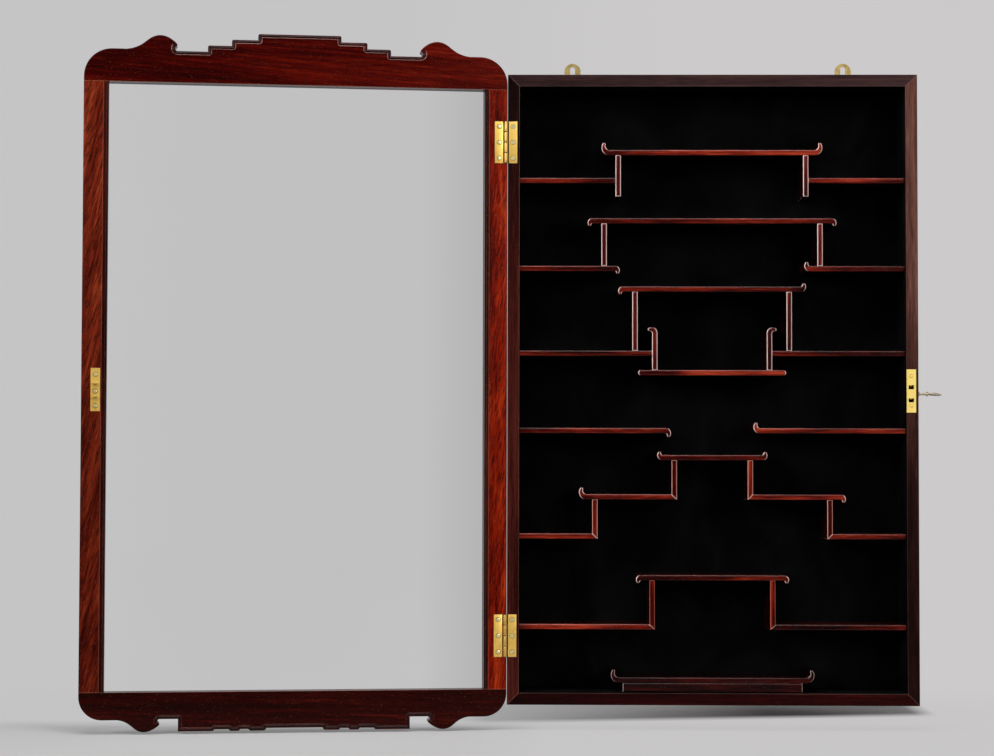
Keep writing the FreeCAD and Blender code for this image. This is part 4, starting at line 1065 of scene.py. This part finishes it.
@dataclass
class ScrewHeads:
    """Raised round heads with a slot, each on a shallow seat ring whose dark colour is painted shade."""

    radius: float = 2.3 * MM
    seat_radius: float = 3.0 * MM
    seat_rise: float = 0.04 * MM
    rise: float = 0.26 * MM
    depth: float = 0.5 * MM
    slot_width: float = 0.55 * MM
    slot_depth: float = 0.24 * MM
    corners: int = 28

    def disc(self, name: str, radius: float, depth: float, *insets: Reach) -> Piece:
        """Models a disc at the origin that looks along -Y, its front stepped.

        Args:
            name: The disc's name.
            radius: Its radius.
            depth: Its depth.
            *insets: The width and the rise of each step.

        Returns:
            The disc.
        """
        deselect()
        bpy.ops.mesh.primitive_cylinder_add(
            vertices=self.corners, radius=radius, depth=depth, rotation=(math.pi / 2, 0, 0)
        )
        piece = bpy.context.object
        piece.name = name
        settle(piece)
        for face in piece.data.polygons:
            face.select = face.normal.y < -0.9
        with editing():
            bpy.ops.mesh.select_mode(type="FACE")
            for width, rise in insets:
                bpy.ops.mesh.inset(thickness=width, depth=rise)
        return piece

    def head(self) -> Piece:
        """Models one head at the origin, looking along -Y.

        Returns:
            The head, its back on the plate's face.
        """
        steps = ((self.radius * 0.3, self.rise * 0.7), (self.radius * 0.35, self.rise * 0.3))
        head = self.disc("screw_head", self.radius, self.depth, *steps)
        length, width, front = self.radius * 1.1, self.slot_width / 2, -self.depth / 2 - self.rise
        high = (length, front + self.slot_depth, width)
        slot = block("screw_slot", (-length, front - self.rise, -width), high)
        cut = head.modifiers.new("slot", "BOOLEAN")
        cut.operation = "DIFFERENCE"
        cut.solver = "EXACT"
        cut.object = slot
        apply_all(head)
        drop(slot)
        take_up(head)
        bpy.ops.transform.translate(value=(0, self.depth / 2, 0))
        settle(head)
        smooth(40.0)
        return head

    def shade_ring(self) -> Piece:
        """Models the dished rim round one head, its dark colour painted shade."""
        dish = (self.seat_radius * 0.15, -self.seat_rise * 0.6)
        return self.disc("screw_shade_ring", self.seat_radius, 2 * self.seat_rise, dish)

    def build(self, name: str, places: Sequence[Vector], turns: Point, body: str, *metals: Material) -> None:
        """Sets a head in its seat at each place, instead of the solids of the same name.

        Args:
            name: The name of one screw.
            places: The heads' middles on their plate's face, with the door closed.
            turns: How far each slot is turned, in degrees.
            body: The body that the plate rides on.
            *metals: The heads' finish and the painted-shade rings'.
        """
        still = Matrix.Identity(4)
        swing, way = (DOOR_SWING, DOOR_BACK) if body == "door" else (still, still)
        for master, kind, metal in zip((self.head(), self.shade_ring()), ("heads", "shade_rings"), metals):
            copies = []
            for place, turn in zip(places, turns):
                twin = copy_of(master)
                spin = Matrix.Rotation(math.radians(turn), 4, "Y")
                twin.matrix_world = Matrix.Translation(swing @ place) @ way @ spin
                settle(twin)
                copies.append(twin)
            drop(master)
            finish_piece(join(copies, f"{name}_{kind}"), body, metal, f"{name}s")


@dataclass
class ButtHinges:
    """Two butt hinges: plates, barrels with their gaps, webs in the seams whose dark colour is painted shade,
    and raised screw heads.
    """

    offset: float = 293.5 * MM
    length: float = 50.0 * MM
    reach: float = 13.4 * MM
    thickness: float = 1.6 * MM
    barrel: float = 2.1 * MM
    barrel_side: float = 2.25 * MM
    seam: float = 1.15 * MM
    seam_depth: float = 1.25 * MM
    knuckles: int = 4
    knuckle_gap: float = 0.8 * MM
    face_gap: float = 0.3 * MM
    web_lap: float = 0.3 * MM
    screw_reach: float = 8.2 * MM
    screw_spread: float = 19.0 * MM
    turns: tuple[float, ...] = (20.0, 75.0, 110.0, 50.0, 160.0, 95.0)

    def half(self, centre: float, on_door: bool) -> tuple[list[Piece], ...]:
        """Models one leaf: its plate, its knuckles and the webs between them.

        Args:
            centre: The height of the hinge's middle.
            on_door: Whether the leaf is the door's.

        Returns:
            The plate, the knuckles and the webs.
        """
        side = -1.0 if on_door else 1.0
        face = HINGE_AXIS.y + side * self.face_gap
        swing = DOOR_SWING if on_door else None
        near, far = sorted((face, face + side * self.thickness))
        low = (HINGE_AXIS.x + self.barrel_side + self.seam, near, centre - self.length / 2)
        high = (HINGE_AXIS.x + self.reach, far, centre + self.length / 2)
        plate = block("plate", low, high, swing)
        ease(plate, 0.25 * MM)
        near, far = sorted((face + side * self.seam_depth, face + side * self.thickness))
        barrels, webs = [], []
        pitch = self.length / self.knuckles
        span = (pitch - self.knuckle_gap) / 2
        for index in range(0 if on_door else 1, self.knuckles, 2):
            middle = centre + self.length / 2 - (index + 0.5) * pitch
            deselect()
            bpy.ops.mesh.primitive_cylinder_add(
                vertices=32, radius=self.barrel, depth=2 * span, location=(HINGE_AXIS.x, HINGE_AXIS.y, middle)
            )
            barrels.append(bpy.context.object)
            settle(barrels[-1])
            ease(barrels[-1], 0.3 * MM)
            web_low = (HINGE_AXIS.x + self.barrel * 0.6, near, middle - span)
            webs.append(block("web", web_low, (low[0] + self.web_lap, far, middle + span), swing))
            ease(webs[-1], 0.1 * MM, 1)
        return [plate], barrels, webs

    def build(self, finishes: dict[str, Material]) -> None:
        """Models both hinges and their screw heads.

        Args:
            finishes: The brasses by name.
        """
        heights = (self.offset, -self.offset)
        kinds = (("plates", "brass"), ("knuckles", "barrel"), ("webs", "seam_shade"))
        for body, on_door in (("case", False), ("door", True)):
            halves = [self.half(z, on_door) for z in heights]
            for (kind, finish), groups in zip(kinds, zip(*halves)):
                piece = join([part for group in groups for part in group], f"hinge_{body}_{kind}")
                finish_piece(piece, body, finishes[finish], f"hinge_{body}_leaves")
            face = HINGE_AXIS.y + (-self.face_gap if on_door else self.face_gap)
            rows = [z + step * self.screw_spread for z in heights for step in (-1, 0, 1)]
            places = [Vector((HINGE_AXIS.x + self.screw_reach, face, z)) for z in rows]
            metals = finishes["polished"], finishes["shade_ring"]
            ScrewHeads().build(f"hinge_{body}_screw", places, self.turns, body, *metals)


@dataclass
class Brassware:
    """Hinges, hanging plates, lock furniture, link plate and every screw."""

    bright: Colour = tint(255, 212, 106)
    dull: Colour = tint(196, 142, 52)
    # Painted shade: the lock's parts that lie deeper than this are dark.
    shaded_beyond: float = -73.0 * MM
    lock_place: float = 235.5 * MM
    case_face: float = -78.0 * MM
    door_face: float = -78.6 * MM
    plate_centre: float = -2.7 * MM
    plate_spread: float = 17.5 * MM
    link_rows: Point = (12.4 * MM, -7.0 * MM, -24.0 * MM)

    def metals(self) -> dict[str, Material]:
        """Makes the metals, each row a name, two colours and then MetalFinish's numbers in order.

        Returns:
            The metals by name.
        """
        bright, dull = self.bright, self.dull
        rows = {
            "brass": ("polished_brass", bright, dull, 0.4, 0.45, 0.6),
            "plate": ("faceplate_brass", tint(255, 226, 122), bright, 0.42, 0.4, 0.35),
            "barrel": ("barrel_brass", tint(224, 186, 104), tint(150, 112, 52), 0.38, 0.5, 0.8),
            # Near-white brass for the screw heads: partly their polish, partly a painted highlight.
            "polished": ("screw_brass", tint(255, 240, 176), bright, 0.28, 0.2, 0.6),
            # Painted shade: the dark rings round the screw heads.
            "shade_ring": ("screw_shade_ring_brass", tint(158, 112, 46), tint(96, 64, 24), 0.5, 0.5, 0.6),
            # Painted shade in the seams between plates and barrels.
            "seam_shade": ("seam_shade_brass", tint(74, 52, 22), tint(36, 24, 10), 0.5, 0.5, 0.6),
            "staple": ("staple_brass", tint(255, 228, 140), tint(150, 98, 34), 0.3, 0.8, 0.8),
            "matt": ("matt_brass", tint(186, 164, 104), tint(118, 98, 56), 0.48, 0.7),
            "key": ("handled_key_brass", tint(222, 208, 178), tint(96, 80, 58), 0.25, 0.3, 0.8, 0.1),
            "steel": ("blued_steel", tint(150, 154, 164), tint(90, 90, 101), 0.3, 0.5),
            "shaded_inside": ("lock_inside_shaded_brass", bright, tint(26, 20, 13), 0.5, 0.2, 0.6, 1.0, self.shaded_beyond),
        }
        return {key: MetalFinish(*traits).make() for key, traits in rows.items()}

    def build(self) -> None:
        """Models the hinges and gives the metal pieces their brass and the spring its steel."""
        finishes = self.metals()
        wears = {
            "lock_faceplate": "plate",
            "link_staples": "staple",
            "hinge_pins": "seam_shade",
            "hanging_plates": "matt",
            "lock_key": "key",
            "lock_bolt_spring": "steel",
        }
        wears |= dict.fromkeys(("lock_bolt", "lock_case", "lock_cover", "lock_drill_pin"), "shaded_inside")
        for name in nodes_of("brass") + nodes_of("spring_steel"):
            dress((name,), finishes[wears.get(name, "brass")])
        ButtHinges().build(finishes)
        self.add_lock_screws(finishes)

    def add_lock_screws(self, finishes: dict[str, Material]) -> None:
        """Models the screw heads of the faceplate and the link plate.

        Args:
            finishes: The brasses by name.
        """
        rows = [self.plate_centre + step * self.plate_spread for step in (-1, 1)]
        places = [Vector((self.lock_place, self.case_face, z)) for z in rows]
        small, metals = ScrewHeads(1.8 * MM, 2.1 * MM), (finishes["plate"], finishes["barrel"])
        small.build("lock_screw", places, (35.0, 80.0), "case", *metals)
        places = [Vector((self.lock_place, self.door_face, z)) for z in self.link_rows]
        metals = finishes["polished"], finishes["shade_ring"]
        ScrewHeads().build("link_plate_screw", places, (15.0, 70.0, 120.0), "door", *metals)


@dataclass(frozen=True)
class Lamp:
    """A soft square lamp that looks at a point."""

    name: str
    place: Point
    target: Point
    side: float
    power: float

    def hang(self) -> None:
        """Adds the lamp."""
        way = (Vector(self.target) - Vector(self.place)).to_track_quat("-Z", "Y").to_euler()
        bpy.ops.object.light_add(type="AREA", location=self.place, rotation=way)
        lamp = bpy.context.object
        lamp.name = self.name
        lamp.data.shape = "SQUARE"
        lamp.data.size = self.side
        lamp.data.energy = self.power


@dataclass
class Studio:
    """The camera, the lamps and the pale sweep."""

    camera_place: Point = (-0.2170, -2.9303, -0.1032)
    yaw: float = math.radians(-0.79)
    pitch: float = math.radians(2.31)
    roll: float = math.radians(0.13)
    lens: float = 86.92
    sight: float = 50.0
    floor_height: float = -0.4055
    floor_reach: float = 7.0
    wall_place: float = 8.0
    wall_height: float = 6.0
    bend: float = 2.0
    bend_steps: int = 24
    world_strength: float = 0.09
    world_tone: Colour = tint(200, 199, 200)
    lamps: tuple[Lamp, ...] = (
        Lamp("top_softbox", (-0.3, -1.0, 2.0), (-0.2, 0.0, 0.0), 1.4, 46.0),
        Lamp("left_softbox", (-2.4, -1.8, 0.9), (-0.3, 0.0, 0.0), 1.2, 38.0),
        Lamp("right_softbox", (1.5, -2.55, 0.75), (-0.1, 0.0, 0.0), 1.2, 29.0),
        Lamp("rear_softbox", (0.4, 3.0, 1.8), (-0.1, 0.0, 0.0), 1.4, 5.0),
    )

    def set_camera(self) -> None:
        """Stands the camera where the photograph was taken from."""
        level = math.cos(self.pitch)
        forward = Vector((math.sin(self.yaw) * level, math.cos(self.yaw) * level, math.sin(self.pitch)))
        side = Vector((math.cos(self.yaw), -math.sin(self.yaw), 0.0))
        up = side.cross(forward)
        right = side * math.cos(self.roll) + up * math.sin(self.roll)
        top = up * math.cos(self.roll) - side * math.sin(self.roll)
        bpy.ops.object.camera_add()
        camera = bpy.context.object
        turn = Matrix((right, top, -forward)).transposed().to_4x4()
        camera.matrix_world = Matrix.Translation(self.camera_place) @ turn
        camera.data.lens = self.lens
        camera.data.clip_end = self.sight
        bpy.context.scene.camera = camera

    def lay_sweep(self) -> None:
        """Lays a floor that bends up into a backdrop."""
        deselect()
        middle = (self.wall_place - self.floor_reach) / 2
        bpy.ops.mesh.primitive_plane_add(size=1.0, location=(0, middle, self.floor_height))
        sweep = bpy.context.object
        sweep.name = "paper_sweep"
        sweep.scale = (2 * self.floor_reach, self.wall_place + self.floor_reach, 1.0)
        settle(sweep)
        with editing("DESELECT"):
            pass
        for edge in sweep.data.edges:
            edge.select = all(sweep.data.vertices[i].co.y > self.wall_place - MM for i in edge.vertices)
        with editing():
            bpy.ops.mesh.select_mode(type="EDGE")
            bpy.ops.mesh.extrude_region_move(TRANSFORM_OT_translate={"value": (0, 0, self.wall_height)})
        bend = sweep.modifiers.new("bend", "BEVEL")
        bend.width = self.bend
        bend.segments = self.bend_steps
        bend.limit_method = "ANGLE"
        apply_all(sweep)
        bpy.ops.object.shade_smooth()
        sweep.data.materials.append(GroundFinish("sweep_paper").make())

    def light(self) -> None:
        """Hangs the lamps and sets the world's light, which the camera sees as a plain grey."""
        for lamp in self.lamps:
            lamp.hang()
        recipe = Recipe(bpy.data.worlds.new("studio_air"))
        air = recipe.add("ShaderNodeBackground", {"Color": WHITE, "Strength": self.world_strength})
        seen = recipe.add("ShaderNodeBackground", {"Color": self.world_tone, "Strength": 1.0})
        rays = Signal(recipe, recipe.add("ShaderNodeLightPath").outputs["Is Camera Ray"])
        bpy.context.scene.world = recipe.finish(recipe.mix(rays, air, seen), "ShaderNodeOutputWorld")
        bpy.context.scene.view_settings.view_transform = "Standard"

    def build(self) -> None:
        """Builds the whole studio."""
        self.set_camera()
        self.lay_sweep()
        self.light()


def main() -> None:
    """Builds and dresses the cabinet, one sub-assembly after another."""
    Studio().build()
    for assembly in (CaseBoards(), ShelfRows(), Linings(), GlazedDoor(), Brassware()):
        assembly.build()
        log.info("%s is done", type(assembly).__name__)


if __name__ == "__main__":
    main()
